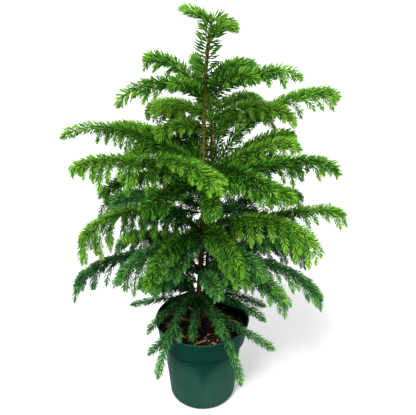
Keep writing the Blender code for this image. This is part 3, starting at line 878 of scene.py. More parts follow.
def pot_profile(pot):
    """The pot's section, from the axis up the inside, over the rim and down to the underside."""
    floor, wall_foot, shoulder, band_foot, rim = pot_inside()
    profile = [(0, POT_FLOOR), floor]
    profile += stepped(wall_foot, shoulder, 6)
    profile += stepped(band_foot, rim, 2)[:-1]
    profile += [(RIM_RADIUS - POT_WALL - pot.bead / 2, POT_HEIGHT - 2.4 * pot.bead)]
    profile += arc((RIM_RADIUS - pot.bead, POT_HEIGHT - pot.bead), pot.bead, 170, -70, 8)
    under_bead = (RIM_RADIUS - 1.5 * pot.bead, POT_HEIGHT - 2.6 * pot.bead)
    profile += stepped(under_bead, (BAND_FOOT_RADIUS, BAND_FOOT_HEIGHT + BAND_FOOT_ROUND), 4)
    centre = (BAND_FOOT_RADIUS - BAND_FOOT_ROUND, BAND_FOOT_HEIGHT + BAND_FOOT_ROUND / 2)
    profile += arc(centre, BAND_FOOT_ROUND, -5, -60, 3)
    profile += [(SHOULDER_RADIUS + 0.4 * MM, SHOULDER_HEIGHT - 0.2 * MM)]
    for drop in GROOVE_DROPS:
        radius, height = on_wall(SHOULDER_HEIGHT - drop)
        profile += [(radius, height + GROOVE_HALF_WIDTH), (radius - pot.groove, height)]
        profile += [(radius, height - GROOVE_HALF_WIDTH)]
    profile += stepped(on_wall(SHOULDER_HEIGHT - PLAIN_WALL_DROP), (BASE_RADIUS, BASE_ROUND), 8)
    profile += arc((BASE_RADIUS - BASE_ROUND, BASE_ROUND), BASE_ROUND, -8, -90, 7)
    ring = BASE_RADIUS - BASE_ROUND - FOOT_RING_WIDTH
    return profile + [(ring, 0), (ring - FOOT_RING_RISE, FOOT_RING_RISE), (0, FOOT_RING_RISE)]


def pot_sway(pot):
    """The thin wall strays from a true circle, most between base and rim."""
    full = pot.sway / RIM_RADIUS

    def sway(angle, height):
        rise = height / POT_HEIGHT
        oval = math.sin(2 * angle + 0.7) * 0.5 + math.sin(3 * angle + 2 + rise) * 0.35
        dents = math.sin(5 * angle + 4 * rise) * 0.15
        return full * (oval + dents) * rise * (1.25 - rise)

    return sway


def pot_plastic(pot):
    """Dark green plastic. A dusty haze with a painted sheen of reflected light lies on the lower wall,
    less in a wedge in front, and a painted highlight runs along the rim.
    """
    finish = Finish("green_plastic", pot.green, 0.4, 0.012)
    place = finish.place()
    cloud = finish.noise(place, 34, 4, 0.6)
    streak = finish.noise(finish.place((60, 60, 7)), 1.6, 3)
    height = finish.part(place, "Z")
    aside = finish.math("ABSOLUTE", finish.part(place, "X") - 2 * MM)
    # Painted reflection: the sheen is weaker in a wedge in front, brighter to the left and right
    painted_reflection_wedge = finish.ramp(aside - (height - 42 * MM) * 0.5, -6 * MM, 10 * MM, 0.15, 1)
    # The haze and its painted sheen lie on the lower wall
    low = finish.ramp(height, 72 * MM, 52 * MM)
    sheen_haze = low * painted_reflection_wedge * finish.ramp(cloud + streak * 0.5, 0.45, 0.95, 0.35, 1)
    # Painted highlight: a bright line along the rim
    rim = finish.ramp(height, POT_HEIGHT - 1.3 * MM, POT_HEIGHT - 0.6 * MM)
    sheen_haze = finish.math("MAXIMUM", sheen_haze, rim * 0.7)
    scuff = finish.ramp(finish.noise(finish.place((1, 1, 6)), 260, 2, 0.7), 0.66, 0.74)
    body = finish.mix(sheen_haze, pot.green, pot.sheen_haze)
    finish.set("Base Color", finish.mix(scuff * 0.2, body, pot.sheen_haze))
    finish.set("Roughness", finish.ramp(sheen_haze + scuff * 0.3, 0, 1, 0.3, 0.5))
    finish.bump(finish.noise(place, 520, 2), 0.05 * MM, 0.5)
    return finish.material


def painted_inner_shade(pot):
    """The same plastic inside, painted near black as shade under the crown, mottled towards its green."""
    finish = Finish("soiled_plastic", pot.inside, 0.7, 0.02)
    stain = finish.noise(finish.place((1, 1, 2)), 140, 4, 0.6)
    finish.set("Base Color", finish.mix(finish.ramp(stain, 0.5, 0.8), pot.inside, pot.green))
    return finish.material


def drain_cutters(pot):
    """Upright rods where the drain holes go."""
    shape = bmesh.new()
    ring = BASE_RADIUS - BASE_ROUND - DRAIN_RING_INSET
    for k in range(pot.holes):
        place = on_circle(ring, FULL_TURN * (k + 0.5) / pot.holes)
        bmesh.ops.create_cone(
            shape,
            cap_ends=True,
            segments=24,
            radius1=pot.hole_radius,
            radius2=pot.hole_radius,
            depth=4 * POT_FLOOR,
            matrix=Matrix.Translation((*place, 0)),
        )
    return add_object("drain_cutters", mesh_of(shape, "drain_cutters"))


def make_pot(pot):
    mesh = turned("nursery_pot", pot_profile(pot), POT_SIDES, pot_sway(pot))
    made = add_object("nursery_pot", mesh, pot_plastic(pot))
    cutters = drain_cutters(pot)
    cut = made.modifiers.new("Drain holes", "BOOLEAN")
    cut.operation = "DIFFERENCE"
    cut.solver = "EXACT"
    cut.object = cutters
    settle(made)
    bpy.data.objects.remove(cutters)
    made.data.materials.append(painted_inner_shade(pot))
    # Faces that look inwards below the rim take the painted shade of the inside
    for face in made.data.polygons:
        inward = face.normal.x * face.center.x + face.normal.y * face.center.y < 0
        if inward and face.center.z < POT_HEIGHT - 1 * MM:
            face.material_index = 1
    smooth(made.data, 40)
    rides(made, "pot", "pot")


# Soil


def mound(soil, x, y):
    """The height of the soil's surface: a little higher at the trunk, and lumpy."""
    place = Vector((x, y, 0))
    lumps = sum(weight * noise.noise(place * scale) for scale, weight in LUMPS)
    rise = MOUND_RISE * math.exp(-((x / MOUND_WIDTH) ** 2 + (y / MOUND_WIDTH) ** 2))
    return SOIL_LEVEL - MOUND_DROP + rise + soil.relief * LUMP_SHARE * lumps


def soil_wall():
    """The soil's wall and underside, from below the surface's edge down to the axis."""
    foot, *wall, _ = [(radius - SOIL_CLEARANCE, height) for radius, height in pot_inside()]
    floor = POT_FLOOR + GAP
    return wall[::-1] + [(foot[0], floor), (0, floor)]


def soil_finish(soil):
    finish = Finish("potting_mix", soil.dark, 0.95, 0.05)
    place = finish.place()
    crumbs = finish.noise(place, 420, 5, 0.7)
    patches = finish.noise(place, 80, 3)
    shade = finish.mix(finish.ramp(crumbs, 0.52, 0.72), soil.dark, soil.brown)
    finish.set("Base Color", finish.mix(finish.ramp(patches, 0.45, 0.7), shade, soil.dark))
    finish.bump(crumbs, 0.8 * MM)
    return finish.material


def grain_finish(name, colour, roughness=0.85):
    finish = Finish(name, colour, roughness, 0.15)
    fibre = finish.noise(finish.place((1, 3, 1)), 900, 3, 0.6)
    deep = tuple(c * 0.45 for c in colour)
    finish.set("Base Color", finish.mix(finish.ramp(fibre, 0.35, 0.65), deep, colour))
    return finish.material


def make_soil(soil):
    """The body of soil with its lumpy surface."""
    edge = radius_inside(SOIL_LEVEL) - SOIL_CLEARANCE
    profile = [(edge * k / SOIL_RINGS, SOIL_LEVEL) for k in range(SOIL_RINGS + 1)] + soil_wall()
    mesh = turned("soil_body", profile, SOIL_SIDES, lambda angle, height: 0)
    for vertex in mesh.vertices:
        if abs(vertex.co.z - SOIL_LEVEL) < 0.01 * MM:
            vertex.co.z = mound(soil, vertex.co.x, vertex.co.y)
    made = add_object("soil_body", mesh, soil_finish(soil))
    smooth(mesh)
    rides(made, "soil", "soil")


def grain_shapes(chance):
    """Rough crumbs of unit length, some blocky and some in slivers."""
    shapes = bpy.data.collections.new("grain_shapes")
    bpy.context.scene.collection.children.link(shapes)
    for number, (width, thickness) in enumerate(GRAIN_SHAPES):
        shape = bmesh.new()
        bmesh.ops.create_icosphere(shape, subdivisions=1, radius=0.5)
        for vertex in shape.verts:
            vertex.co *= chance.uniform(0.72, 1.12)
            vertex.co.y *= width
            vertex.co.z *= thickness
        shapes.objects.link(bpy.data.objects.new(f"grain_{number}", mesh_of(shape, "grain")))
    return shapes


def scatter_tree():
    """Grains scattered over a surface, each with a random turn, size and tint."""
    kinds = {"Surface": "Geometry", "Density": "Float", "Smallest": "Float", "Largest": "Float"}
    kinds |= {"Seed": "Int", "Grains": "Collection"}
    kinds |= {f"Material {k}": "Material" for k in range(3)}
    growth = Growth("scatter", kinds)
    surface, density, smallest, largest, seed, grains, *materials = growth.inputs
    inputs = {"Mesh": surface, "Density": density, "Seed": seed}
    points = growth.add("GeometryNodeDistributePointsOnFaces", inputs=inputs)
    tint = growth.math("POWER", growth.random(0, 1, seed, 1), 2.2) * 2.999
    points = growth.tinted(points, growth.math("FLOOR", tint))
    inputs = {"Collection": grains, "Separate Children": True, "Reset Children": True}
    shapes = growth.add("GeometryNodeCollectionInfo", inputs=inputs)
    lie = growth.random((-0.5, -0.5, 0), (0.5, 0.5, 6.28), seed, 0, "FLOAT_VECTOR", 0)
    size = growth.math("POWER", growth.random(0, 1, seed, 3), 2.5)
    inputs = {
        "Points": points,
        "Instance": shapes,
        "Pick Instance": True,
        "Instance Index": growth.math("FLOOR", growth.random(0, 3.999, seed, 2)),
        "Rotation": growth.add("FunctionNodeEulerToRotation", inputs={"Euler": lie}),
        "Scale": smallest + size * (largest - smallest),
    }
    growth.finish(growth.add("GeometryNodeInstanceOnPoints", inputs=inputs), materials)
    return growth


def grain_surface(soil):
    """The part of the soil's surface where grains lie, clear of the pot's wall."""
    shape = bmesh.new()
    edge = radius_inside(SOIL_LEVEL) - GRAIN_MARGIN
    rings = [[shape.verts.new((0, 0, mound(soil, 0, 0)))] * GRAIN_SIDES]
    for k in range(1, GRAIN_RINGS + 1):
        ring = []
        for j in range(GRAIN_SIDES):
            x, y = on_circle(edge * k / GRAIN_RINGS, FULL_TURN * j / GRAIN_SIDES)
            ring.append(shape.verts.new((x, y, mound(soil, x, y))))
        rings.append(ring)
    for inner, outer in zip(rings, rings[1:]):
        for j in range(GRAIN_SIDES):
            after = (j + 1) % GRAIN_SIDES
            corners = (inner[j], outer[j], outer[after], inner[after])
            shape.faces.new(list(dict.fromkeys(corners)))
    return mesh_of(shape, "surface")


def make_grains(soil):
    """Crumbs of peat, bark and wood over the soil's surface."""
    grains = grain_shapes(random.Random(soil.seed))
    values = {
        "Density": soil.grain_density,
        "Smallest": soil.smallest,
        "Largest": soil.largest,
        "Seed": soil.seed,
        "Grains": grains,
        "Material 0": grain_finish("peat_crumb", soil.dark),
        "Material 1": grain_finish("bark_crumb", soil.brown),
        "Material 2": grain_finish("wood_bit", soil.tan),
    }
    made = scatter_tree().grow("soil_grains", grain_surface(soil), values)
    for grain in list(grains.objects):
        bpy.data.objects.remove(grain)
    bpy.data.collections.remove(grains)
    rides(made, "soil")


def chip_mesh(chip, soil, chance):
    """A flat splinter of bark with a broken outline."""
    shape = bmesh.new()
    rows = []
    for k in range(CHIP_STEPS + 1):
        t = k / CHIP_STEPS
        half = chip.width / 2 * (math.sin(math.pi * (0.12 + 0.76 * t)) ** 0.6)
        row = []
        for side, level in CHIP_SECTION:
            x = (t - 0.5) * chip.length + chance.uniform(-0.4, 0.4)
            y = side * half * chance.uniform(0.75, 1.1)
            z = level * chip.thick / 2 * chance.uniform(0.6, 1.15) + 0.5 * math.sin(3 * t)
            row.append(shape.verts.new(Vector((x, y, z)) * MM))
        rows.append(row)
    skin(shape, rows)
    turn = Matrix.Rotation(math.radians(chip.turn), 4, "Z")
    tilt = Matrix.Rotation(math.radians(chip.tilt), 4, "Y")
    x, y = chip.x * MM, chip.y * MM
    place = Matrix.Translation((x, y, mound(soil, x, y) + chip.thick * MM * 0.45))
    shape.transform(place @ turn @ tilt)
    return mesh_of(shape, "chip")


def make_chips(soil):
    """The larger chips of bark and wood that lie on the soil."""
    chance = random.Random(soil.seed + 1)
    joined = bmesh.new()
    for chip in CHIPS:
        first = len(joined.faces)
        joined.from_mesh(chip_mesh(chip, soil, chance))
        joined.faces.ensure_lookup_table()
        for face in joined.faces[first:]:
            face.material_index = chip.red
    made = add_object("bark_chips", mesh_of(joined, "bark_chips"))
    for name, wood in (("tan_chip", soil.tan), ("red_chip", soil.red)):
        made.data.materials.append(grain_finish(name, wood, 0.75))
    rides(made, "soil")


# Stems and bark


def stem_line(course):
    """A smooth line through a course, whose first step is upright."""
    knots = [Vector((side, back, height)) for height, side, back in course]
    line = [knots[0]]
    for k in range(len(knots) - 1):
        here, there = knots[k], knots[k + 1]
        before, after = knots[max(k - 1, 0)], knots[min(k + 2, len(knots) - 1)]
        handle = (there - here).length / 3
        leave = here + (there - before).normalized() * handle
        arrive = there - (after - here).normalized() * handle
        line += interpolate_bezier(here, leave, arrive, there, STEM_STEPS_PER_SPAN + 1)[1:]
    line[0].xy = line[1].xy
    return line


def make_stem(course, foot, tip, flare):
    """A stem's line and its radii, which taper from foot to tip, with a flare at the root."""
    line = stem_line(course)
    low, high = line[0].z, line[-1].z
    radii = []
    for point in line:
        share = (point.z - low) / (high - low)
        swell = flare * math.exp(-(point.z - low) / FLARE_HEIGHT)
        radii.append(foot + (tip - foot) * share**STEM_TAPER + swell)
    return Stem(line, radii)


def stem_at(stem, height):
    """The stem's centre and radius at a height."""
    k = 0
    while k < len(stem.line) - 2 and stem.line[k + 1].z < height:
        k += 1
    low, high = stem.line[k], stem.line[k + 1]
    share = (height - low.z) / (high.z - low.z)
    radius = stem.radii[k] + (stem.radii[k + 1] - stem.radii[k]) * share
    return low.lerp(high, share), radius


STEMS = {
    "trunk": make_stem(TRUNK_COURSE, TRUNK_FOOT_RADIUS, TRUNK_TIP_RADIUS, TRUNK_FLARE),
    "rear_stem": make_stem(REAR_COURSE, REAR_FOOT_RADIUS, REAR_TIP_RADIUS, REAR_FLARE),
}


def line_length(line):
    return sum((b - a).length for a, b in zip(line, line[1:]))


def resampled(line, count, values=None):
    """The line as count steps of one length, and its values there if it has any."""
    places = np.array([p[:] for p in line])
    lengths = np.concatenate([[0], np.cumsum(np.linalg.norm(np.diff(places, axis=0), axis=1))])
    at = np.linspace(0, lengths[-1], count + 1)
    points = [Vector(p) for p in zip(*(np.interp(at, lengths, places[:, k]) for k in range(3)))]
    if values is None:
        return points
    return points, np.interp(at, lengths, values)


def leaf_bases(length, angle, radius, pitch):
    """How high the old leaf bases stand at a place on a stem, as a share of their full height."""
    lift = 0.0
    first = int((length - LEAF_BASE_HALF_LENGTH) / pitch)
    last = int((length + LEAF_BASE_HALF_LENGTH) / pitch)
    for number in range(first, last + 1):
        along = (length - number * pitch) / LEAF_BASE_HALF_LENGTH
        across = (angle - number * GOLDEN_TURN + math.pi) % FULL_TURN - math.pi
        across *= radius / LEAF_BASE_HALF_WIDTH
        near = 1 - along * along - across * across
        if near > 0:
            lift = max(lift, math.sqrt(near) * (0.55 + 0.45 * along))
    return lift


def barked(name, line, radii, sides, step, bark, knots=()):
    """A limb with old leaf bases, a fine grain and a swelling at each knot. Its ends are closed."""
    count = max(6, round(line_length(line) / step))
    points, sizes = resampled(line, count, radii)
    shape = bmesh.new()
    side = Vector((1, 0, 0))
    rings = []
    for k, (point, radius) in enumerate(zip(points, sizes)):
        ahead = (points[min(k + 1, count)] - points[max(k - 1, 0)]).normalized()
        rise = ahead.cross(side).normalized()
        side = rise.cross(ahead).normalized()
        swell = sum(math.exp(-(((point.z - knot) / KNOT_LENGTH) ** 2)) for knot in knots)
        ring = []
        for j in range(sides):
            angle = FULL_TURN * j / sides
            out = side * math.cos(angle) + rise * math.sin(angle)
            at = point + out * radius
            grain = Vector((at.x * GRAIN_ACROSS, at.y * GRAIN_ACROSS, at.z * GRAIN_ALONG))
            lift = bark.scar * leaf_bases(k * step, angle, radius, bark.scar_pitch)
            lift += GRAIN_RELIEF * noise.noise(grain)
            ring.append(shape.verts.new(point + out * (radius * (1 + KNOT_SWELL * swell) + lift)))
        rings.append(ring)
    skin(shape, rings)
    mesh = mesh_of(shape, name)
    smooth(mesh)
    return mesh


def bark_finish(name, bark, brown):
    """Bark that turns olive towards the top, and is shaded between the lower whorls."""
    finish = Finish(name, brown, 0.8, 0.1)
    place = finish.place()
    fleck = finish.noise(finish.place((1, 1, 0.5)), 620, 4, 0.65)
    patch = finish.noise(place, 260, 3)
    height = finish.part(place, "Z")
    young = finish.ramp(height + patch * 0.05, 250 * MM, 360 * MM)
    body = finish.mix(young, brown, bark.olive)
    body = finish.mix(finish.ramp(patch, 0.4, 0.6), body, brown)
    shaded = finish.ramp(height, 125 * MM, 140 * MM) * finish.ramp(height, 250 * MM, 200 * MM)
    body = finish.mix(shaded * 0.75, body, bark.dark)
    finish.set("Base Color", finish.mix(finish.ramp(fleck, 0.42, 0.6), bark.dark, body))
    finish.bump(fleck, 0.25 * MM)
    return finish.material


def make_trunks(bark):
    """The trunk and the rear stem."""
    material = bark_finish("young_bark", bark, bark.brown)
    knots = [w.height * MM for w in WHORLS if w.stem == "trunk" and w.height]
    for name, sides, at in (("trunk", TRUNK_SIDES, knots), ("rear_stem", REAR_SIDES, [REAR_KNOT])):
        stem = STEMS[name]
        line = [stem.line[0] - UP * ROOT_DEPTH, *stem.line, stem.line[-1] + UP * BUD_HEIGHT]
        radii = [stem.radii[0] * 1.15, *stem.radii, stem.radii[-1] * 0.6]
        mesh = barked(name + "_bark", line, radii, sides, BARK_STEP, bark, at)
        rides(add_object(name + "_bark", mesh, material), "bark", name)


# Growth rule


def outward(azimuth):
    return Vector((math.cos(azimuth), math.sin(azimuth), 0))


def frond_curve(start, frond):
    """A frond's line: one arch from the stem to its tip, in an upright plane."""
    out = outward(math.radians(frond.azimuth))
    reach = frond.reach * MM
    rise, end = math.radians(frond.rise), math.radians(frond.end)
    leave = out * math.cos(rise) + UP * math.sin(rise)
    arrive = out * math.cos(end) + UP * math.sin(end)
    tip = start + out * reach + UP * frond.tip * MM
    return interpolate_bezier(
        start,
        start + leave * reach * LEAVE_HANDLE,
        tip - arrive * reach * ARRIVE_HANDLE,
        tip,
        CURVE_STEPS + 1,
    )


def foot_level(order, count):
    """Neighbours round a whorl leave the stem low and high in turn; an odd last one higher."""
    if count % 2 and order == count - 1:
        return 3
    return 1 if order % 2 else -1


def whorl_curves(whorl):
    """Each frond of a whorl with its curve, as the plant's solids have it."""
    stem = STEMS.get(whorl.stem)
    for order, frond in enumerate(whorl.fronds):
        if stem is None:
            yield frond, frond_curve(Vector(whorl.height) * MM, frond)
        elif whorl.height is None:
            yield frond, frond_curve(stem.line[-1] + UP * (BUD_HEIGHT + GAP), frond)
        else:
            lift = STAGGER * foot_level(order, len(whorl.fronds))
            centre, radius = stem_at(stem, whorl.height * MM + lift)
            inset = radius + GAP + BOUGH_RADIUS * math.sin(math.radians(frond.rise))
            start = centre + outward(math.radians(frond.azimuth)) * inset
            grown = frond._replace(reach=frond.reach - inset / MM, tip=frond.tip - lift / MM)
            yield frond, frond_curve(start, grown)


def along(line, share):
    """The point and direction at a share of a line's steps."""
    place = share * (len(line) - 1)
    k = min(int(place), len(line) - 2)
    return line[k].lerp(line[k + 1], place - k), (line[k + 1] - line[k]).normalized()


def twig_line(start, ahead, side, length, spread, hang):
    """A twig that leaves its stem forwards and sideways, and droops towards its end."""
    angle = math.radians(spread)
    out = (ahead * math.cos(angle) + side * math.sin(angle) + UP * TWIG_LIFT).normalized()
    line = []
    for k in range(TWIG_STEPS + 1):
        t = k / TWIG_STEPS
        forward = out * t * (1 - TWIG_SHORTENING * hang * t)
        line.append(start + length * (forward - UP * TWIG_DROP * hang * t * t))
    return line


def twig_size(share, tip):
    """A twig's length as a share of the longest: full in mid frond, short towards its ends."""
    return min(1.0, 0.55 + 1.6 * share) * min(1.0, tip + (1 - tip) * (1 - share) * 3.5)


def twigs_of(line, twigs, last, chance):
    """The seeded rule: twigs right and left in turn, from the first place to the last."""
    pairs = max(0, round(line_length(line) * (last - twigs.first) / (twigs.spacing * MM)))
    for pair in range(pairs):
        for hand in (1, -1):
            place = (pair + 0.5 + 0.25 * hand) / pairs
            share = twigs.first + (last - twigs.first) * place
            start, ahead = along(line, share)
            side = ahead.cross(UP).normalized() * hand
            length = twigs.length * MM * twig_size(share, twigs.tip) * chance.uniform(*TWIG_LENGTH)
            spread = chance.uniform(*TWIG_SPREAD)
            hang = twigs.hang * chance.uniform(*TWIG_HANG)
            yield share, start, ahead, side, length, spread, hang


def is_clear(line):
    """Whether a twig keeps out of the pot's wall and the soil."""
    for point in line:
        across = math.hypot(point.x, point.y)
        if point.z < SOIL_LEVEL + SOIL_ROOM and across < RIM_RADIUS:
            return False
        if point.z < POT_HEIGHT + RIM_ROOM_ABOVE and abs(across - RIM_RADIUS) < RIM_ROOM_ASIDE:
            return False
    return True


# Shoots: lines with these values at each point

SHOOT_VALUES = ("needle", "lean", "tone", "girth", "pitch", "stout")


class Shoots:
    """The shoots of one tier, gathered as one mesh of edges with values at each point."""

    def __init__(self, foliage):
        self.foliage = foliage
        self.points = []
        self.edges = []
        self.values = {name: [] for name in SHOOT_VALUES}

    def add_line(self, line, needle, lean, tone, girth, pitch, stout=1.0):
        first = len(self.points)
        steps = len(line)
        self.points += [tuple(p) for p in line]
        self.edges += [(first + k, first + k + 1) for k in range(steps - 1)]
        values = (needle, lean, tone, girth, [pitch] * steps, [stout] * steps)
        for name, value in zip(SHOOT_VALUES, values):
            self.values[name] += list(value)

    def add_shoot(self, line, needle, lean, tones, girths, pitch, stout=1.0):
        """A shoot with needles along it that close to a tip, denser over its last stretch."""
        foliage = self.foliage
        full = line_length(line)
        length = full - TIP_OVERHANG * needle
        count = max(8, round(length / SHOOT_STEP))
        fine = resampled(line, FINE_STEPS)[: round(FINE_STEPS * length / full) + 1]
        line = resampled(fine, count)
        t = np.linspace(0, 1, count + 1)
        left = np.clip((1 - t) * length / foliage.taper, 0, 1)
        opening = np.interp(t, *FOOT_OPENING)
        needles = needle * (TIP_NEEDLE + (1 - TIP_NEEDLE) * left) * opening
        leans = np.radians(lean * (TIP_LEAN + (1 - TIP_LEAN) * left))
        tones = tones[0] + (tones[1] - tones[0]) * t**TIP_TONE_CURVE
        girths = girths[0] + (girths[1] - girths[0]) * t
        self.add_line(line, needles, leans, tones, girths, pitch * needle, stout)
        end = max(4, round(count * min(foliage.tuft / length, 0.5)))
        tip = [values[-end:] for values in (line, needles, leans, tones + TIP_TONE, girths)]
        self.add_line(*tip, foliage.tip_pitch * needle)

    def mesh(self, name):
        mesh = bpy.data.meshes.new(name)
        mesh.from_pydata(self.points, self.edges, [])
        for key, value in self.values.items():
            attribute = mesh.attributes.new(key, "FLOAT", "POINT")
            attribute.data.foreach_set("value", np.array(value, np.float32))
        return mesh


def add_frond(shoots, whorl, frond, curve, chance):
    """One frond: its stem from the bough on, and its twigs."""
    if whorl.bare:
        curve = curve[BOUGH_STEPS_WITHOUT_NEEDLES:]
    foliage = shoots.foliage
    line = resampled(curve, FROND_STEPS)
    tone = whorl.tone + frond.tone
    ends = [tone + change for change in FROND_TONES]
    needle = whorl.needle * MM
    pitch = foliage.frond_pitch
    shoots.add_shoot(line, needle, whorl.lean, ends, FROND_GIRTHS, pitch, FROND_NEEDLE_WIDTH)
    if not whorl.twigs:
        return
    needle, lean = whorl.twigs.needle * MM, whorl.twigs.lean
    places = twigs_of(line, whorl.twigs, frond.last, chance)
    for share, start, ahead, side, length, spread, hang in places:
        for cut in TWIG_CUTS:
            size = length * frond.twigs * cut
            twig = twig_line(start, ahead, side, size, spread, hang * frond.hang)
            if is_clear(twig):
                ends = [tone + change + TWIG_TONE_RISE * share for change in TWIG_TONES]
                ends[1] += chance.uniform(*TWIG_TONE_STRAY)
                shoots.add_shoot(twig, needle, lean, ends, TWIG_GIRTHS, foliage.pitch)
                break


def add_stem_needles(shoots, stem, low, high, needles, pitch, tone):
    """Needles that stand out from a stem itself, all round, between two heights."""
    line = [point for point in resampled(stem.line, STEM_STEPS) if low <= point.z <= high]
    steps = len(line)
    sizes = np.linspace(*needles, steps)
    leans = np.radians(np.linspace(*STEM_LEANS, steps))
    girths = np.full(steps, STEM_GIRTH)
    shoots.add_line(line, sizes, leans, np.full(steps, tone), girths, pitch, STEM_NEEDLE_WIDTH)


def needle_mesh():
    """A slim awl of unit length along Z: three-sided, and bowed towards the shoot's tip."""
    shape = bmesh.new()
    foot = shape.verts.new((0, 0, 0))
    tip = shape.verts.new((-NEEDLE_BOW, 0, 1))
    ring = []
    for k in range(3):
        x, y = on_circle(NEEDLE_RADIUS, FULL_TURN * k / 3)
        ring.append(shape.verts.new((x - NEEDLE_BOW * NEEDLE_WAIST**2, NEEDLE_FLATNESS * y, NEEDLE_WAIST)))
    for k in range(3):
        for end in (foot, tip):
            shape.faces.new((ring[k], ring[(k + 1) % 3], end))
    bmesh.ops.recalc_face_normals(shape, faces=shape.faces)
    return mesh_of(shape, "needle")


def needle_tree(tones):
    """Needles along shoots: each a golden turn on from the last, leaning towards the tip."""
    kinds = {"Shoots": "Geometry", "Needle": "Object", "Jitter": "Float", "Mottle": "Float"}
    kinds |= {"Glow": "Float", "Seed": "Int"}
    kinds |= {f"Tone {k}": "Material" for k in range(tones)}
    growth = Growth("needles", kinds)
    lines, needle, jitter, mottle, glow, seed, *materials = growth.inputs
    curve = growth.add("GeometryNodeMeshToCurve", inputs={"Mesh": lines})
    inputs = {"Curve": curve, "Length": growth.attribute("pitch")}
    curve = growth.add("GeometryNodeResampleCurve", {"mode": "LENGTH"}, inputs)
    points = growth.add("GeometryNodeCurveToPoints", {"mode": "EVALUATED"}, {"Curve": curve})
    upright = growth.add(
        "FunctionNodeAxesToRotation",
        {"primary_axis": "Z", "secondary_axis": "X"},
        {"Primary Axis": points.twin("Tangent"), "Secondary Axis": points.twin("Normal")},
    )
    number = growth.add("GeometryNodeInputIndex")
    spin = number * GOLDEN_TURN + growth.random(-0.25, 0.25, seed)
    lean = growth.attribute("lean") + growth.random(-1.0, 1.0, seed, 1) * jitter
    rotation = growth.turn(growth.turn(upright, (0, 0, 1), spin), (0, 1, 0), lean)
    inputs = {"Vector": (0, 0, 1), "Rotation": rotation}
    rise = growth.part(growth.add("FunctionNodeRotateVector", inputs=inputs), "Z")
    # Painted light: a needle's tone rises as it points up and falls as it points down
    tone = growth.attribute("tone") + rise * glow + growth.random(-1.0, 1.0, seed, 2) * mottle
    tone = growth.math("MINIMUM", growth.math("MAXIMUM", tone, 0), tones - 1)
    points = growth.tinted(points, growth.math("ROUND", tone))
    size = growth.attribute("needle") * growth.random(0.85, 1.08, seed, 3)
    width = size * growth.attribute("stout")
    inputs = {
        "Points": points,
        "Instance": growth.add("GeometryNodeObjectInfo", None, {"Object": needle}, "Geometry"),
        "Rotation": rotation,
        "Scale": growth.add("ShaderNodeCombineXYZ", inputs={"X": width, "Y": width, "Z": size}),
    }
    growth.finish(growth.add("GeometryNodeInstanceOnPoints", inputs=inputs), materials)
    return growth


def shoot_tree():
    """A tapering green stem along each shoot."""
    growth = Growth("shoots", {"Shoots": "Geometry", "Bark": "Material"})
    lines, bark = growth.inputs
    inputs = {
        "Curve": growth.add("GeometryNodeMeshToCurve", inputs={"Mesh": lines}),
        "Profile Curve": growth.add(
            "GeometryNodeCurvePrimitiveCircle", inputs={"Resolution": 4, "Radius": 1.0}
        ),
        "Scale": growth.attribute("girth"),
        "Fill Caps": True,
    }
    growth.finish(growth.add("GeometryNodeCurveToMesh", inputs=inputs), [bark])
    return growth


def plain_finish(name, colour, roughness, specular):
    """A finish of one plain colour, made once."""
    if name in bpy.data.materials:
        return bpy.data.materials[name]
    return Finish(name, colour, roughness, specular).material


def make_boughs(bark):
    """The bare boughs of the two wide whorls, each from inside the trunk to its frond."""
    joined = bmesh.new()
    nodes = []
    for whorl in WHORLS:
        if not whorl.bare:
            continue
        for frond, curve in whorl_curves(whorl):
            nodes.append(f"{whorl.name}_{frond.name}_bough")
            bare = curve[: round(whorl.bare * CURVE_STEPS) + 2]
            root = bare[0] - (bare[1] - bare[0]).normalized() * ROOT_DEPTH
            line = [root, *bare]
            radii = BOUGH_RADIUS * np.linspace(1, 1 - BOUGH_TAPER, len(line))
            joined.from_mesh(barked("bough", line, radii, BOUGH_SIDES, BOUGH_BARK_STEP, bark))
    # The boughs are near black as painted shade from the crown above them
    material = bark_finish("bough_bark", bark, bark.bough)
    made = add_object("bough_bark", mesh_of(joined, "bough_bark"), material)
    smooth(made.data)
    rides(made, "bark", *nodes)


def tier_nodes(tier):
    """The frame's nodes of foliage that belong to a tier."""
    names = frame["nodes"]
    if tier in names:
        return [tier]
    if tier.endswith("_inner"):
        return []
    return sorted(n for n in names if n.startswith(tier + "_") and not n.endswith("_bough"))


def tier_shoots(tier, foliage):
    """All shoots of one tier."""
    shoots = Shoots(foliage)
    chance = random.Random(f"{foliage.seed} {tier}")
    for whorl in WHORLS + FILLERS:
        if whorl.name == tier:
            for frond, curve in whorl_curves(whorl):
                add_frond(shoots, whorl, frond, curve, chance)
    for name, stem, low, high, needles, pitch, tone in STEM_NEEDLES:
        if name == tier:
            sizes = (needles[0] * MM, needles[1] * MM)
            add_stem_needles(shoots, STEMS[stem], low * MM, high * MM, sizes, pitch * MM, tone)
    return shoots


def make_tier(tier, pine):
    """The shoots and needles of one tier, each kind as one piece."""
    foliage = pine.foliage
    source = tier_shoots(tier, foliage).mesh(tier + "_lines")
    names = [f"tone_{k}" for k in range(6)]
    # The inner and lower tiers take the bluer tones of painted shade
    if tier in SKY_SHADE_TIERS:
        names[:5] = [f"old_{k}" for k in range(5)]
    needle = add_object("needle", needle_mesh())
    values = {"Needle": needle, "Jitter": foliage.jitter, "Mottle": foliage.mottle}
    values |= {"Glow": foliage.glow, "Seed": foliage.seed}
    for k, name in enumerate(names):
        values[f"Tone {k}"] = plain_finish(name, getattr(foliage, name), 0.5, 0.05)
    needles = needle_tree(len(names)).grow(tier + "_needles", source.copy(), values)
    bark = plain_finish("green_shoot", pine.bark.shoot, 0.6, 0.15)
    stems = shoot_tree().grow(tier + "_shoots", source, {"Bark": bark})
    bpy.data.objects.remove(needle)
    stems.data.shade_smooth()
    rides(needles, "foliage", *tier_nodes(tier))
    rides(stems, "foliage")


# Stage


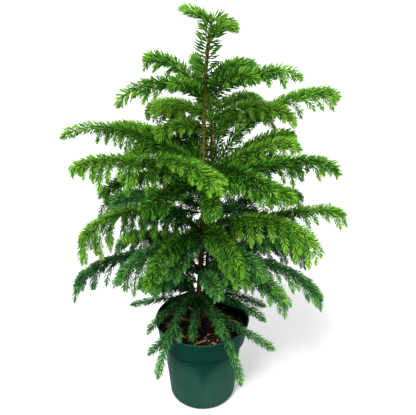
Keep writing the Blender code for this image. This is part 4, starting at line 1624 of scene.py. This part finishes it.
def make_stage(stage):
    """A plain pale floor, soft light and the camera."""
    shape = bmesh.new()
    bmesh.ops.create_grid(shape, x_segments=1, y_segments=1, size=stage.floor_size / 2)
    floor = add_object("floor", mesh_of(shape, "floor"), Finish("floor", stage.floor, 0.9).material)
    floor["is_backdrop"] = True
    scene = bpy.context.scene
    world = bpy.data.worlds.new("studio")
    world.use_nodes = True
    background = world.node_tree.nodes["Background"].inputs
    background["Color"].default_value = (1, 1, 1, 1)
    background["Strength"].default_value = stage.sky
    scene.world = world
    for name, direction, share, spread in LAMPS:
        lamp = bpy.data.lights.new(name, "SUN")
        lamp.energy = stage.key * share
        lamp.angle = math.radians(spread)
        light = add_object(name, lamp)
        light.rotation_euler = Vector(direction).to_track_quat("Z", "Y").to_euler()
    camera = bpy.data.cameras.new("camera")
    camera.lens = stage.lens
    camera.sensor_width = SENSOR_WIDTH
    camera.sensor_fit = "HORIZONTAL"
    view = add_object("camera", camera)
    view.location = stage.camera_place
    view.rotation_euler = (math.pi / 2 - stage.camera_tilt, 0, 0)
    scene.camera = view
    scene.view_settings.view_transform = "Standard"


# Operators


class PINE_OT_pot(Operator):
    """Make the nursery pot"""

    bl_idname = "pine.pot"
    bl_label = "Pot"

    def execute(self, context):
        make_pot(context.scene.pine.pot)
        return {"FINISHED"}


class PINE_OT_soil(Operator):
    """Make the soil, its crumbs and its chips of bark"""

    bl_idname = "pine.soil"
    bl_label = "Soil"

    def execute(self, context):
        soil = context.scene.pine.soil
        make_soil(soil)
        make_grains(soil)
        make_chips(soil)
        return {"FINISHED"}


class PINE_OT_wood(Operator):
    """Make the bark of the trunk, the rear stem and the boughs"""

    bl_idname = "pine.wood"
    bl_label = "Trunk and boughs"

    def execute(self, context):
        make_trunks(context.scene.pine.bark)
        make_boughs(context.scene.pine.bark)
        return {"FINISHED"}


class PINE_OT_tier(Operator):
    """Grow the shoots and needles of one tier"""

    bl_idname = "pine.tier"
    bl_label = "Tier of foliage"
    tier: StringProperty(name="Tier", description="Which tier is grown", default="leader")

    def execute(self, context):
        make_tier(self.tier, context.scene.pine)
        return {"FINISHED"}


class PINE_OT_stage(Operator):
    """Set up the floor, the light and the camera"""

    bl_idname = "pine.stage"
    bl_label = "Stage"

    def execute(self, context):
        make_stage(context.scene.pine.stage)
        return {"FINISHED"}


class PINE_PT_panel(Panel):
    """Lists the steps that dress the plant"""

    bl_idname = "PINE_PT_panel"
    bl_label = "Norfolk Island pine"
    bl_space_type = "VIEW_3D"
    bl_region_type = "UI"
    bl_category = "Pine"

    def draw(self, context):
        layout = self.layout
        for name in ("pot", "soil", "wood"):
            layout.operator("pine." + name)
        for tier in TIERS:
            layout.operator("pine.tier", text=tier).tier = tier
        layout.operator("pine.stage")


TIERS = tuple(dict.fromkeys(whorl.name for whorl in WHORLS + FILLERS))
CLASSES = (
    PotSettings,
    SoilSettings,
    BarkSettings,
    FoliageSettings,
    StageSettings,
    PineSettings,
    PINE_OT_pot,
    PINE_OT_soil,
    PINE_OT_wood,
    PINE_OT_tier,
    PINE_OT_stage,
    PINE_PT_panel,
)


def register():
    for item in CLASSES:
        bpy.utils.register_class(item)
    bpy.types.Scene.pine = PointerProperty(type=PineSettings)


def unregister():
    del bpy.types.Scene.pine
    for item in reversed(CLASSES):
        bpy.utils.unregister_class(item)


def main():
    register()
    bpy.ops.pine.pot()
    bpy.ops.pine.soil()
    bpy.ops.pine.wood()
    for tier in TIERS:
        bpy.ops.pine.tier(tier=tier)
    bpy.ops.pine.stage()
    boxes = {"cad": CAD_BOX, "visual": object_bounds()}
    sizes = {name: [list(corner) for corner in box] for name, box in boxes.items()}


if __name__ == "__main__":
    main()
